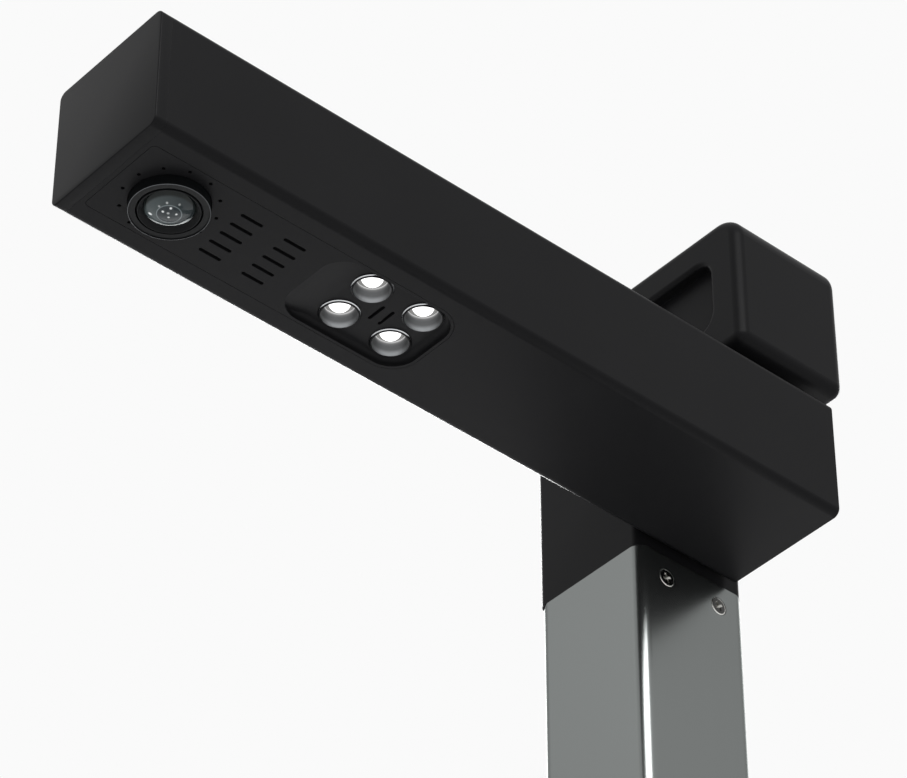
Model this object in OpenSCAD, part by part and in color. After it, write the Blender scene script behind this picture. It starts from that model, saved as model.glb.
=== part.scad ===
// Overhead document scanner: a camera arm that folds down beside a square aluminium column.
// +Z is up, the desk is z = 0, the column stands on the origin and the arm reaches towards -Y.

/* [Arm] */
// Width of the arm
arm_w = 60; // [58:1:68]
// Height of the arm
arm_h = 55.6; // [54:0.1:62]
// Length of the arm from its front face to its rear end
arm_l = 336; // [330:1:380]
// Distance from the fold axis back to the arm's rear end
arm_tail = 21; // [21:0.5:26]
// Wall of the arm's moulded housing
arm_wall = 2.2; // [1.8:0.1:2.6]
// Radius of the arm's four long edges
arm_edge_r = 3.3; // [3:0.1:5]
// Height of the arm's underside above the desk
arm_lift = 400; // [390:1:450]
// Depth of the front cap, back to its parting line
cap_d = 5; // [4:0.5:7]
// Radius round the edge of the front face
cap_edge_r = 0.5; // [0.4:0.1:2]

/* [Underside panel] */
// Width of the panel let into the arm's underside
panel_w = 40.4; // [40:0.2:44]
// Length of that panel
panel_l = 145.5; // [145:0.5:160]
// Distance from the arm's front face back to the panel
panel_inset = 7.2; // [6.5:0.1:8]
// Distance from the arm's front face back to the lens axis
lens_inset = 30; // [29:0.5:32]
// Length of one air slot
slot_l = 10; // [8:0.5:12]
// Width of one air slot
slot_w = 1.5; // [1:0.1:2]
// Distance from one air slot to the next
slot_pitch = 6; // [4:0.5:7]
// Air slots in one row
slot_count = 5; // [3:1:5]
// Small holes in the ring round the lens
ring_count = 12; // [6:1:16]

/* [Lamp recess] */
// Length of the recess that holds the lamps
recess_l = 59; // [58:0.5:62]
// Width of that recess
recess_w = 38; // [37:0.5:38]
// Depth of its flat floor
recess_d = 3.4; // [2.5:0.1:4]
// Radius of the hollow between that floor and the recess's sides
floor_fillet_r = 2.2; // [0.8:0.1:2.4]
// Radius of its corners
recess_r = 11; // [8:0.5:12]
// Length of the ramp that leads down to its floor
ramp_l = 17; // [12:0.5:18]
// Distance between the lamps along the arm
lamp_pitch_y = 24.5; // [22:0.5:25]
// Distance between the lamps across the arm
lamp_pitch_x = 18.6; // [18:0.2:19]
// Radius of a lamp reflector's mouth
lamp_r = 7; // [6:0.1:7.2]

/* [Lens] */
// Outer radius of the lens barrel
barrel_r = 14.8; // [14.2:0.1:15.4]
// How far the barrel stands out below the arm
barrel_drop = 4.4; // [3.5:0.1:8]
// Radius of the front glass
glass_r = 9.3; // [8.8:0.1:9.6]
// How far the domed front glass rises from its rim
glass_dome_h = 3.6; // [2:0.1:4]

/* [Column] */
// Width of the column across the stand
column_w = 58; // [58:0.5:70]
// Depth of the column from front to back
column_d = 57.2; // [56:0.1:64]
// Wall of the extruded column
column_wall = 2.5; // [2.4:0.1:3]
// Radius of the column's corners
column_edge_r = 5; // [4.5:0.5:6]

/* [Head] */
// Height of the head block over the arm
head_h = 67.5; // [62:0.5:76]
// Depth of the head block from front to back
head_d = 57.2; // [57:0.1:66]
// Radius of the block's two upper corners, seen from the front
head_corner_r = 11.5; // [8:0.5:14]
// Radius round the edges of the block's front and back
head_edge_r = 4.5; // [3:0.5:5]
// Wall of the moulded head
head_wall = 2.5; // [2:0.1:3]
// Margin between the front recess and the block's outline
pocket_margin = 16.2; // [13:0.1:18]
// Depth of the front recess
pocket_d = 5.5; // [4:0.5:7]
// Radius of the soft lip round the front recess
lip_r = 2; // [1:0.1:2.2]
// Radius of the front recess's corners
pocket_r = 8.5; // [5:0.5:9]

/* [Base] */
// Width of the base
base_w = 140; // [130:1:170]
// Depth of the base from front to back
base_d = 175; // [165:1:190]
// Height of the base
base_h = 14; // [13.5:0.5:18]
// Radius of the base's corners
base_r = 12; // [9:1:20]
// Radius round the base's upper edge
base_edge_r = 3; // [2:0.5:4]
// Thickness of the steel plate that weighs the base down
plate_t = 8; // [6:0.5:8]

/* [Hinge] */
// Radius of the hollow hinge shaft
shaft_r = 8; // [7.5:0.1:8.5]
// Turn of the arm between its two stops, in degrees
fold_angle = 90; // [80:1:90]

/* [Hidden] */
$fn = 64;

// Clearances, and the overrun that every cut takes past a face
over = 1;
fit = 0.15;
running_fit = 0.05;
air = 0.3;
side_gap = 1;
swing_gap = 1;
thread_fit = 0.02;

// Screws: shank radius, head radius, and the depth and width of the cross in the head
m3_r = 1.5;
m3_head_r = 2.8;
m4_r = 2;
m4_head_r = 3.9;
m5_r = 2.5;
m5_head_r = 4.7;
cross_d_share = 0.32;
cross_l_share = 0.62;
cross_w_share = 0.22;
pilot_share = 0.84;
head_land = 0.3;

// Base, from the desk upwards
sole_t = 1.5;
sole_inset = 5;
skirt_z = 0.7;
cover_wall = 2.5;
plate_z = sole_t;
plate_top = plate_z + plate_t;
cover_boss_r = 4;
cover_boss_inset = 14;
base_back = 17;
cover_screw_l = base_h - cover_wall - plate_z + cover_wall / 2;

// Column profile: each corner holds a port for a thread-forming screw
port_r = 4;
port_sink = 0.5;
port_x = column_w / 2 - column_wall - port_r + port_sink;
port_y = column_d / 2 - column_wall - port_r + port_sink;
column_screw_l = 24;
tube_drop = 2.8;
tube_top = arm_lift - tube_drop;

// Head: the leg that carries the hinge, and the spigot that plugs into the column
leg_recess = 1;
block_recess = 0.9;
leg_edge_r = 3;
leg_wall = 3;
spigot_l = 34;
spigot_wall = 5;
spigot_screw_y = 14;
spigot_screw_drop = 10.5;
spigot_screw_l = 7;

// Places along X: the column is centred, the arm hangs beside it
arm_x0 = column_w / 2 + side_gap;
arm_x1 = arm_x0 + arm_w;
arm_cx = (arm_x0 + arm_x1) / 2;
leg_x0 = -column_w / 2;
leg_x1 = column_w / 2 - leg_recess;
leg_cx = (leg_x0 + leg_x1) / 2;
leg_w = leg_x1 - leg_x0;
head_x0 = -column_w / 2;
head_x1 = arm_x1;
head_w = head_x1 - head_x0;
head_cx = (head_x0 + head_x1) / 2;

// Places along Y
arm_y0 = arm_tail - arm_l;
arm_y1 = arm_tail;
head_y0 = -column_d / 2 + block_recess;
head_y1 = head_y0 + head_d;
head_cy = (head_y0 + head_y1) / 2;
base_y1 = column_d / 2 + base_back;
base_cy = base_y1 - base_d / 2;

// Places along Z: the gap over the arm lets its rear corner swing past
axis_z = arm_lift + arm_h / 2;
arm_top = arm_lift + arm_h;
head_gap = sqrt(arm_tail * arm_tail + arm_h * arm_h / 4) - arm_h / 2 + swing_gap;
head_z = arm_top + head_gap;
head_top = head_z + head_h;
head_cz = (head_z + head_top) / 2;

// Rear cover of the head
rear_cover_t = 2.5;
rear_ledge_t = 2.5;
rear_cover_inset = head_edge_r + 1.5;
rear_ledge_w = 3;
rear_cover_r = 4;
rear_post_r = 3.5;
rear_post_inset = rear_cover_inset + 5;
rear_screw_l = 10;
rear_post_rib = 1.6;
rear_inner_y = head_y1 - rear_cover_t;
head_low_r = head_edge_r + 0.5;

// Board in the head and the socket that looks out through the rear cover
board_t = 1.6;
io_board_w = 50;
io_board_h = 30;
io_board_gap = 7;
io_y = rear_inner_y - io_board_gap;
io_post_r = 3;
io_post_inset = 4;
io_screw_l = 7;
io_chip = [12, 12, 1.2];
usb_w = 9;
usb_h = 3.3;
usb_wall = 0.35;
usb_tongue_t = 0.7;
usb_recess = 0.6;
usb_x = head_cx - usb_w;
usb_z = head_cz - io_board_h / 4;

// Hinge: bracket and bush in the leg, shaft and flange on the arm
bracket_t = 4;
bracket_w = 44;
bracket_r = 5;
bracket_screw_pitch = 32;
bracket_x0 = leg_x1 - leg_wall - bracket_t;
bush_wall = 2.5;
bush_r = shaft_r + running_fit + bush_wall;
bush_flange_r = 17;
bush_flange_t = arm_x0 - leg_x1 - air;
shaft_bore_r = 4.5;
flange_r = 18;
flange_t = 3;
flange_screw_r = 13.8;
shaft_screw_l = 4.5;
stop_disc_r = 11.5;
stop_lug_r = 16;
stop_t = 2.5;
stop_lug_angle = 12;
stop_play = 1.5;
stop_ring_gap = 0.8;
stop_ring_w = 4;
stop_x1 = bracket_x0 - air;
spring_t = 0.8;
spring_r = 14;
spring_rise = 1;
spring_x1 = stop_x1 - stop_t;
nut_t = 6;
nut_r = 13.8;
nut_x1 = spring_x1 - 2 * (spring_t + spring_rise);
shaft_x0 = nut_x1 - nut_t - over;

// Underside panel and what stands on its inner face
panel_y0 = arm_y0 + panel_inset;
panel_y1 = panel_y0 + panel_l;
panel_cy = (panel_y0 + panel_y1) / 2;
panel_front_r = 2;
panel_margin = (panel_w - recess_w) / 2;
recess_y1 = panel_y1 - panel_margin;
recess_y0 = recess_y1 - recess_l;
recess_cy = (recess_y0 + recess_y1) / 2;
tub_t = 1.5;
ledge_t = 1.5;
ledge_in = 1.5;
ledge_out = 3;
lens_y = arm_y0 + lens_inset;
slot_row_gap = 19.7;
lens_to_slots = 27.7;
slot_row_y = lens_y + lens_to_slots;
ring_r = 18;
ring_hole_r = 0.72;
floor_slot_l = 9;
floor_slot_w = 1.4;
floor_slot_pitch = 4.7;
lamp_rear_margin = 23.2;
lamp_cy = recess_y1 - lamp_rear_margin;
hook_w = 8;
hook_t = 1.4;
hook_h = 7;
hook_lip = 1;
hook_front_y = slot_row_y + slot_row_gap / 2;
floor_z = arm_lift + recess_d;
ramp_r = (ramp_l * ramp_l + recess_d * recess_d) / (2 * recess_d);

// Lamps
cup_depth = 4.7;
cup_throat_r = 5.8;
cup_wall = 0.6;
cup_rim = 0.9;
cup_rim_t = 1.9;
cup_proud = 0.9;
cup_steps = 8;
led_base = [6, 6, 0.8];
led_dome_r = 5.5;
led_dome_h = 1;
lamp_board_w = 34;
lamp_board_l = 60;
lamp_board_r = 3;
lamp_board_z = floor_z + cup_depth + led_base[2];
lamp_post_r = 2.6;
lamp_post_inset = 3.6;
lamp_post_y = recess_l / 2 - lamp_post_inset;
lamp_screw_l = 5;

// Lens, from its front rim upwards
lens_z = arm_lift - barrel_drop;
barrel_lip_w = 0.4;
barrel_lip_d = 0.4;
barrel_face_w = 2.3;
groove_w = 0.7;
groove_d = 3;
barrel_hole_gap = 0.25;
barrel_flange_rise = 4;
barrel_flange_z = arm_lift + barrel_flange_rise;
barrel_tail_r = 10.8;
barrel_tail_rise = 22;
barrel_tail_z = arm_lift + barrel_tail_rise;
hood_face_w = 0.5;
hood_face_d = 0.7;
hood_d = 2.2;
hood_lip_d = 1.1;
glass_rim_d = 2.1;
glass_t = 2.4;
cell_r = 5.6;
cell_hole_r = 4.7;
cell_d = 5.4;
cell_ledge_t = 1;
cell_t = 4;
inner_dome_h = 0.9;
inner_lens_t = 2;
stage_r = 7;

// Holder that carries the lens over the panel, with the camera board on top of it
holder_w = 36.4;
holder_l = 43.8;
holder_r = 4;
holder_t = 2.5;
holder_post_x = 15.8;
holder_post_y = 19.5;
holder_post_r = 2.4;
holder_post_h = 6;
holder_z = arm_lift + arm_wall + holder_post_h;
holder_wall = 2.2;
holder_rise = 24;
holder_top_z = arm_lift + holder_rise;
camera_board_w = 34;
camera_board_z = holder_top_z + holder_t;
camera_board_inset = 3.5;
camera_screw_l = 6;
sensor = [12, 10, 1.6];
sensor_window = [9, 7, 0.4];

// Main board, hung under the arm's top wall, and its heat sink
main_board_w = 44;
main_board_l = 112;
lens_to_board = 26;
main_board_y0 = lens_y + lens_to_board;
main_board_drop = 16;
main_board_z = arm_top - arm_wall - main_board_drop - board_t;
main_board_inset = 4;
main_post_r = 3;
main_screw_l = 8;
chip = [18, 18, 1.5];
plug_block = [14, 8, 5];
sink_w = 32;
sink_l = 32;
sink_base_t = 2;
sink_fin_h = 8;
sink_fin_t = 1.2;
sink_fins = 7;
sink_cy = slot_row_y + slot_row_gap / 2;

// Front cap and rear plug
cap_plate_t = 2.5;
tongue_l = 8;
tongue_t = 1.6;
plug_t = 2.5;
plug_rim_l = 6;
plug_rim_t = 1.5;

// Colours as the photograph shows them
black_satin = "#26272a";
black_dark = "#17181a";
black_rubber = "#1c1c1c";
anodised = "#a9adad";
steel = "#8f9396";
chrome = "#dfe3e6";
board_green = "#1f5a3c";
brass_tone = "#b79b55";
glass_tone = "#8fa3a6";
warm_white = "#f6f3e6";

// Flat shapes

module rounded_rect(w, h, r) {
    square([w - 2 * r, h], center = true);
    square([w, h - 2 * r], center = true);
    for (sx = [-1, 1], sy = [-1, 1])
        translate([sx * (w / 2 - r), sy * (h / 2 - r)]) circle(r);
}

module slot_2d(l, w) {
    square([l - w, w], center = true);
    for (s = [-1, 1]) translate([s * (l - w) / 2, 0]) circle(w / 2);
}

// A rectangle whose corners have the radius r_low at -Y and r_high at +Y
module two_radius_rect(w, h, r_low, r_high) {
    translate([0, (r_low - r_high) / 2]) square([w, h - r_low - r_high], center = true);
    for (end = [[-1, r_low], [1, r_high]]) {
        translate([0, end[0] * (h / 2 - end[1])]) square([w - 2 * end[1], 2 * end[1]], center = true);
        for (s = [-1, 1])
            translate([s * (w / 2 - end[1]), end[0] * (h / 2 - end[1])]) circle(end[1]);
    }
}

// Outline of the underside panel: small corners in front, wide ones round the lamp recess
module panel_outline(grow)
    two_radius_rect(panel_w + 2 * grow, panel_l + 2 * grow, panel_front_r + grow,
        recess_r + panel_margin + grow);

// Bodies that repeat

module along_x(x0, x1, y, z)
    translate([x0, y, z]) rotate([90, 0, 90]) linear_extrude(x1 - x0) children();

module along_y(y0, y1, x, z)
    translate([x, y1, z]) rotate([90, 0, 0]) linear_extrude(y1 - y0) children();

module along_z(z0, z1, x, y)
    translate([x, y, z0]) linear_extrude(z1 - z0) children();

module rod_x(x0, x1, r) translate([x0, 0, axis_z]) rotate([0, 90, 0]) cylinder(h = x1 - x0, r = r);

// A disc whose two rims are rounded
module soft_disc(r, t, f)
    rotate_extrude() intersection() {
        rounded_rect(2 * r, t, f);
        translate([0, -t / 2]) square([r, t]);
    }

// A slab with round corners whose two faces have rounded edges: r_low at -Y, r_high at +Y
module soft_slab(w, h, t, r_low, r_high, f) {
    for (end = [[-1, r_low], [1, r_high]]) {
        translate([0, end[0] * h / 4, 0]) rotate([90, 0, 90])
            linear_extrude(w - 2 * end[1], center = true) rounded_rect(h / 2, t, f);
        for (side = [-1, 1])
            translate([side * (w / 2 - end[1]), end[0] * (h / 2 - end[1]), 0]) soft_disc(end[1], t, f);
    }
    translate([0, (r_low - r_high) / 2, 0]) rotate([90, 0, 0])
        linear_extrude(h - r_low - r_high, center = true) rounded_rect(w, t, f);
}

// A countersunk cross-head screw: the head's face is at z = 0 and the shank points to -Z
module screw(r, head_r, l) {
    cone_h = head_r - r;
    difference() {
        union() {
            translate([0, 0, -head_land]) cylinder(h = head_land, r = head_r);
            translate([0, 0, -head_land - cone_h]) cylinder(h = cone_h, r1 = r, r2 = head_r);
            translate([0, 0, -l]) cylinder(h = l - head_land, r = r);
        }
        for (a = [0, 90]) rotate(a)
            translate([0, 0, over / 2 - head_r * cross_d_share / 2])
                cube([2 * head_r * cross_l_share, head_r * cross_w_share, over + head_r * cross_d_share],
                    center = true);
    }
}

// The hole for that screw through a wall of thickness t: clearance and countersink
module screw_hole(r, head_r, t) {
    cone_h = head_r - r;
    translate([0, 0, -t - over]) cylinder(h = t + 2 * over, r = r + fit);
    translate([0, 0, -head_land - cone_h]) cylinder(h = cone_h, r1 = r + fit, r2 = head_r + fit);
    translate([0, 0, -head_land]) cylinder(h = head_land + over, r = head_r + fit);
}

// What a soft lip of radius f takes off round a recess: the face is at z = 0, the recess lies below
module lip_cut(w, h, r, f) {
    $fn = 32;
    difference() {
        translate([0, 0, -f]) linear_extrude(f + over) rounded_rect(w + 2 * f, h + 2 * f, r + f);
        for (s = [-1, 1]) {
            translate([s * (w / 2 + f), 0, -f]) rotate([90, 0, 0]) cylinder(h = h - 2 * r, r = f, center = true);
            translate([0, s * (h / 2 + f), -f]) rotate([0, 90, 0]) cylinder(h = w - 2 * r, r = f, center = true);
        }
        for (sx = [-1, 1], sy = [-1, 1])
            translate([sx * (w / 2 - r), sy * (h / 2 - r), -f]) intersection() {
                rotate_extrude() translate([r + f, 0]) circle(f);
                translate([sx > 0 ? 0 : -r - 3 * f, sy > 0 ? 0 : -r - 3 * f, -2 * f])
                    cube([r + 3 * f, r + 3 * f, 4 * f]);
            }
    }
}

// Base

module base_screw_places()
    for (sx = [-1, 1], sy = [-1, 1])
        translate([head_cx + sx * (base_w / 2 - cover_boss_inset),
            base_cy + sy * (base_d / 2 - cover_boss_inset)]) children();

module column_screw_places()
    for (sx = [-1, 1], sy = [-1, 1]) translate([sx * port_x, sy * port_y]) children();

module rubber_sole() color(black_rubber)
    along_z(0, sole_t, head_cx, base_cy)
        rounded_rect(base_w - 2 * sole_inset, base_d - 2 * sole_inset, base_r - sole_inset);

module base_plate() color(steel) {
    inset = cover_wall + fit;
    difference() {
        along_z(plate_z, plate_top, head_cx, base_cy)
            rounded_rect(base_w - 2 * inset, base_d - 2 * inset, base_r - inset);
        base_screw_places() translate([0, 0, plate_z]) mirror([0, 0, 1])
            screw_hole(m3_r, m3_head_r, plate_t);
        column_screw_places() translate([0, 0, plate_z]) mirror([0, 0, 1])
            screw_hole(m5_r, m5_head_r, plate_t);
    }
}

module base_cover() color(black_satin) {
    cavity_top = base_h - cover_wall;
    difference() {
        union() {
            difference() {
                translate([head_cx, base_cy, 0])
                    soft_slab(base_w, base_d, 2 * base_h, base_r, base_r, base_edge_r);
                along_z(-base_h - over, skirt_z, head_cx, base_cy)
                    square([base_w + 2 * over, base_d + 2 * over], center = true);
                along_z(0, cavity_top, head_cx, base_cy)
                    rounded_rect(base_w - 2 * cover_wall, base_d - 2 * cover_wall, base_r - cover_wall);
            }
            base_screw_places() translate([0, 0, plate_top])
                cylinder(h = base_h - plate_top - cover_wall / 2, r = cover_boss_r);
        }
        base_screw_places() translate([0, 0, plate_top - over])
            cylinder(h = plate_z + cover_screw_l - plate_top + over + fit,
                r = m3_r * pilot_share + thread_fit);
        along_z(plate_z, base_h + over, 0, 0)
            rounded_rect(column_w + 2 * air, column_d + 2 * air, column_edge_r + air);
    }
}

module cover_screws() color(steel)
    base_screw_places() translate([0, 0, plate_z]) mirror([0, 0, 1])
        screw(m3_r * pilot_share, m3_head_r, cover_screw_l);

module column_screws() color(steel)
    column_screw_places() translate([0, 0, plate_z]) mirror([0, 0, 1])
        screw(m5_r * pilot_share, m5_head_r, column_screw_l);

// Column

module column_profile() difference() {
    union() {
        difference() {
            rounded_rect(column_w, column_d, column_edge_r);
            rounded_rect(column_w - 2 * column_wall, column_d - 2 * column_wall,
                column_edge_r - column_wall);
        }
        for (sx = [-1, 1], sy = [-1, 1]) {
            translate([sx * port_x, sy * port_y]) circle(port_r);
            translate([sx * (port_x + port_r / 2), sy * (port_y + port_r / 2)])
                square(port_r, center = true);
        }
    }
    column_screw_places() circle(m5_r * pilot_share + thread_fit);
}

// Two screws on the column's near side and the same two on its far side hold the head's spigot
module spigot_screw_places()
    for (side = [-1, 1], sy = [-1, 1])
        translate([side * column_w / 2, sy * spigot_screw_y, tube_top - spigot_screw_drop])
            rotate([0, side * 90, 0]) children();

module column_tube() color(anodised)
    difference() {
        along_z(plate_top, tube_top, 0, 0) column_profile();
        spigot_screw_places() screw_hole(m4_r, m4_head_r, column_wall);
    }

module spigot_screws() color(chrome) spigot_screw_places() screw(m4_r, m4_head_r, spigot_screw_l);

// Head: one moulding with the block, the leg and the spigot

module spigot_profile(inset) {
    gap = inset + fit;
    square([column_w - 2 * column_wall - 2 * gap, 2 * (port_y - port_r) - 2 * gap], center = true);
    square([2 * (port_x - port_r) - 2 * gap, column_d - 2 * column_wall - 2 * gap], center = true);
}

module rear_post_places()
    for (sx = [-1, 1], sz = [-1, 1])
        translate([head_cx + sx * (head_w / 2 - rear_post_inset), 0,
            head_cz + sz * (head_h / 2 - rear_post_inset)]) children();

module io_post_places()
    for (sx = [-1, 1], sz = [-1, 1])
        translate([head_cx + sx * (io_board_w / 2 - io_post_inset), 0,
            head_cz + sz * (io_board_h / 2 - io_post_inset)]) children();

module head_cavity() {
    around = pocket_margin - head_wall;
    difference() {
        along_y(head_y0 + head_wall, rear_inner_y - rear_ledge_t, head_cx, head_cz)
            two_radius_rect(head_w - 2 * head_wall, head_h - 2 * head_wall, head_low_r - head_wall,
                head_corner_r - head_wall);
        along_y(head_y0, head_y0 + pocket_d + head_wall, head_cx, head_cz)
            rounded_rect(head_w - 2 * around, head_h - 2 * around, pocket_r + head_wall);
        rear_post_places() rotate([90, 0, 0]) cylinder(h = 2 * head_d, r = rear_post_r, center = true);
        for (sx = [-1, 1], sz = [-1, 1])
            translate([head_cx + sx * (head_w / 2 - rear_post_inset / 2), head_cy,
                head_cz + sz * (head_h / 2 - rear_post_inset)])
                cube([rear_post_inset, head_d, rear_post_rib], center = true);
        io_post_places() translate([0, io_y - board_t, 0]) rotate([90, 0, 0])
            cylinder(h = head_d, r = io_post_r);
    }
}

module head_housing() color(black_satin)
    difference() {
        union() {
            translate([head_cx, head_cy, head_cz]) rotate([90, 0, 0])
                soft_slab(head_w, head_h, head_d, head_low_r, head_corner_r, head_edge_r);
            along_z(tube_top, head_z + head_h / 2, leg_cx, 0) rounded_rect(leg_w, column_d, leg_edge_r);
            along_z(tube_top - spigot_l, tube_top + leg_wall, 0, 0) spigot_profile(0);
        }
        head_cavity();
        // rebate and opening for the rear cover
        along_y(rear_inner_y, head_y1 + over, head_cx, head_cz)
            rounded_rect(head_w - 2 * rear_cover_inset, head_h - 2 * rear_cover_inset, rear_cover_r);
        difference() {
            inset = rear_cover_inset + rear_ledge_w;
            along_y(rear_inner_y - rear_ledge_t - over, rear_inner_y + over, head_cx, head_cz)
                rounded_rect(head_w - 2 * inset, head_h - 2 * inset, rear_cover_r);
            rear_post_places() rotate([90, 0, 0]) cylinder(h = 2 * head_d, r = rear_post_r, center = true);
        }
        rear_post_places() translate([0, rear_inner_y + over, 0]) rotate([90, 0, 0])
            cylinder(h = rear_screw_l + over, r = m3_r * pilot_share + thread_fit);
        io_post_places() translate([0, io_y - board_t + over, 0]) rotate([90, 0, 0])
            cylinder(h = io_screw_l + over, r = m3_r * pilot_share + thread_fit);
        // front recess
        along_y(head_y0 - over, head_y0 + pocket_d, head_cx, head_cz)
            rounded_rect(head_w - 2 * pocket_margin, head_h - 2 * pocket_margin, pocket_r);
        translate([head_cx, head_y0, head_cz]) rotate([90, 0, 0])
            lip_cut(head_w - 2 * pocket_margin, head_h - 2 * pocket_margin, pocket_r, lip_r);
        // hollow of the leg, and the way for the cable from the hinge up and down
        along_z(tube_top + leg_wall, head_z + head_wall + over, leg_cx, 0)
            rounded_rect(leg_w - 2 * leg_wall, column_d - 2 * leg_wall, leg_edge_r);
        along_z(tube_top - spigot_l - over, tube_top + leg_wall + over, 0, 0) spigot_profile(spigot_wall);
        rod_x(leg_x1 - leg_wall - over, leg_x1 + over, bush_r + thread_fit);
        bracket_screw_places() screw_hole(m4_r, m4_head_r, leg_wall);
        for (side = [-1, 1], sy = [-1, 1])
            translate([side * (column_w / 2 + over), sy * spigot_screw_y, tube_top - spigot_screw_drop])
                rotate([0, -side * 90, 0]) cylinder(h = spigot_screw_l + 2 * over, r = m4_r + thread_fit);
    }

module head_rear_cover() color(black_satin) {
    inset = rear_cover_inset + fit;
    difference() {
        along_y(rear_inner_y, head_y1, head_cx, head_cz)
            rounded_rect(head_w - 2 * inset, head_h - 2 * inset, rear_cover_r - fit);
        rear_post_places() translate([0, head_y1, 0]) rotate([-90, 0, 0])
            screw_hole(m3_r, m3_head_r, rear_cover_t);
        along_y(rear_inner_y - over, head_y1 + over, usb_x, usb_z)
            rounded_rect(usb_w + 2 * air, usb_h + 2 * air, usb_h / 2);
    }
}

module rear_cover_screws() color(steel)
    rear_post_places() translate([0, head_y1, 0]) rotate([-90, 0, 0])
        screw(m3_r * pilot_share, m3_head_r, rear_screw_l);

// The board carries the power and data socket and a small supply chip
module io_board() color(board_green)
    difference() {
        union() {
            along_y(io_y - board_t, io_y, head_cx, head_cz)
                rounded_rect(io_board_w, io_board_h, io_post_inset);
            translate([head_cx + io_board_w / 4 - io_chip[0] / 2, io_y, head_cz - io_chip[1] / 2])
                cube([io_chip[0], io_chip[2], io_chip[1]]);
        }
        io_post_places() translate([0, io_y + over, 0]) rotate([90, 0, 0])
            cylinder(h = board_t + 2 * over, r = m3_r + fit);
    }

module usb_socket() color(steel) {
    mouth_y = head_y1 - usb_recess;
    difference() {
        along_y(io_y, mouth_y, usb_x, usb_z) rounded_rect(usb_w, usb_h, usb_h / 2 - usb_wall);
        along_y(io_y + board_t, mouth_y + over, usb_x, usb_z)
            rounded_rect(usb_w - 2 * usb_wall, usb_h - 2 * usb_wall, usb_h / 2 - 2 * usb_wall);
    }
    along_y(io_y + board_t / 2, mouth_y - usb_wall, usb_x, usb_z)
        square([usb_w - usb_h, usb_tongue_t], center = true);
}

module io_board_screws() color(steel)
    io_post_places() translate([0, io_y, 0]) rotate([-90, 0, 0]) pan_screw(io_screw_l);

// A small pan-head screw for the boards: the head sits on z = 0
module pan_screw(l) {
    head_r = m3_head_r - fit;
    head_h = m3_r;
    difference() {
        union() {
            cylinder(h = head_h, r = head_r);
            translate([0, 0, -l]) cylinder(h = l, r = m3_r * pilot_share);
        }
        for (a = [0, 90]) rotate(a) translate([0, 0, head_h])
            cube([2 * head_r * cross_l_share, head_r * cross_w_share, head_h], center = true);
    }
}

// Hinge parts fixed in the leg

module bracket_screw_places()
    for (sy = [-1, 1], sz = [-1, 1])
        translate([leg_x1, sy * bracket_screw_pitch / 2, axis_z + sz * bracket_screw_pitch / 2])
            rotate([0, 90, 0]) children();

// A steel plate with a raised ring on its inner side: the gap in the ring lets the stop lug turn
module hinge_bracket() color(steel)
    difference() {
        union() {
            along_x(bracket_x0, bracket_x0 + bracket_t, 0, axis_z)
                rounded_rect(bracket_w, bracket_w, bracket_r);
            difference() {
                rod_x(bracket_x0 - stop_t, bracket_x0, stop_lug_r + stop_ring_gap + stop_ring_w / 2);
                rod_x(bracket_x0 - stop_t - over, bracket_x0, stop_disc_r + stop_ring_gap);
                stop_window();
            }
        }
        rod_x(bracket_x0 - over, bracket_x0 + bracket_t + over, bush_r + thread_fit);
        bracket_screw_places() translate([0, 0, -leg_wall - bracket_t - over])
            cylinder(h = bracket_t + 2 * over, r = m4_r + thread_fit);
    }

// The sector that the lug sweeps, from pointing down at rest to pointing back when folded
module stop_window() {
    reach = 2 * stop_lug_r;
    a0 = -90 - stop_lug_angle - stop_play;
    a1 = fold_angle - 90 + stop_lug_angle + stop_play;
    along_x(bracket_x0 - stop_t - over, bracket_x0, 0, axis_z)
        polygon([[0, 0], for (i = [0 : 4]) let(a = a0 + (a1 - a0) * i / 4) reach * [cos(a), sin(a)]]);
}

module bracket_screws() color(steel)
    bracket_screw_places() screw(m4_r, m4_head_r, leg_wall + bracket_t);

module hinge_bush() color(brass_tone)
    difference() {
        union() {
            rod_x(bracket_x0, leg_x1, bush_r);
            rod_x(leg_x1, leg_x1 + bush_flange_t, bush_flange_r);
        }
        rod_x(bracket_x0 - over, arm_x0, shaft_r + running_fit);
    }

// Hinge parts that turn with the arm

module flange_screw_places()
    for (a = [45 : 90 : 315])
        translate([arm_x0, flange_screw_r * cos(a), axis_z + flange_screw_r * sin(a)])
            rotate([0, -90, 0]) children();

module hinge_shaft() color(steel) {
    flange_x0 = arm_x0 + arm_wall;
    difference() {
        union() {
            rod_x(shaft_x0, flange_x0 + over, shaft_r);
            rod_x(flange_x0, flange_x0 + flange_t, flange_r);
        }
        rod_x(shaft_x0 - over, flange_x0 + flange_t + over, shaft_bore_r);
        flange_screw_places() translate([0, 0, -arm_wall - flange_t - over])
            cylinder(h = flange_t + 2 * over, r = m3_r + thread_fit);
    }
}

module shaft_screws() color(steel) flange_screw_places() screw(m3_r, m3_head_r, shaft_screw_l);

module stop_washer() color(steel)
    difference() {
        union() {
            rod_x(stop_x1 - stop_t, stop_x1, stop_disc_r);
            intersection() {
                rod_x(stop_x1 - stop_t, stop_x1, stop_lug_r);
                along_x(stop_x1 - stop_t, stop_x1, 0, axis_z)
                    polygon([[0, 0], for (s = [-1, 0, 1]) let(a = -90 + s * stop_lug_angle)
                        2 * stop_lug_r * [cos(a), sin(a)]]);
            }
        }
        rod_x(stop_x1 - stop_t - over, stop_x1 + over, shaft_r + thread_fit);
    }

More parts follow.
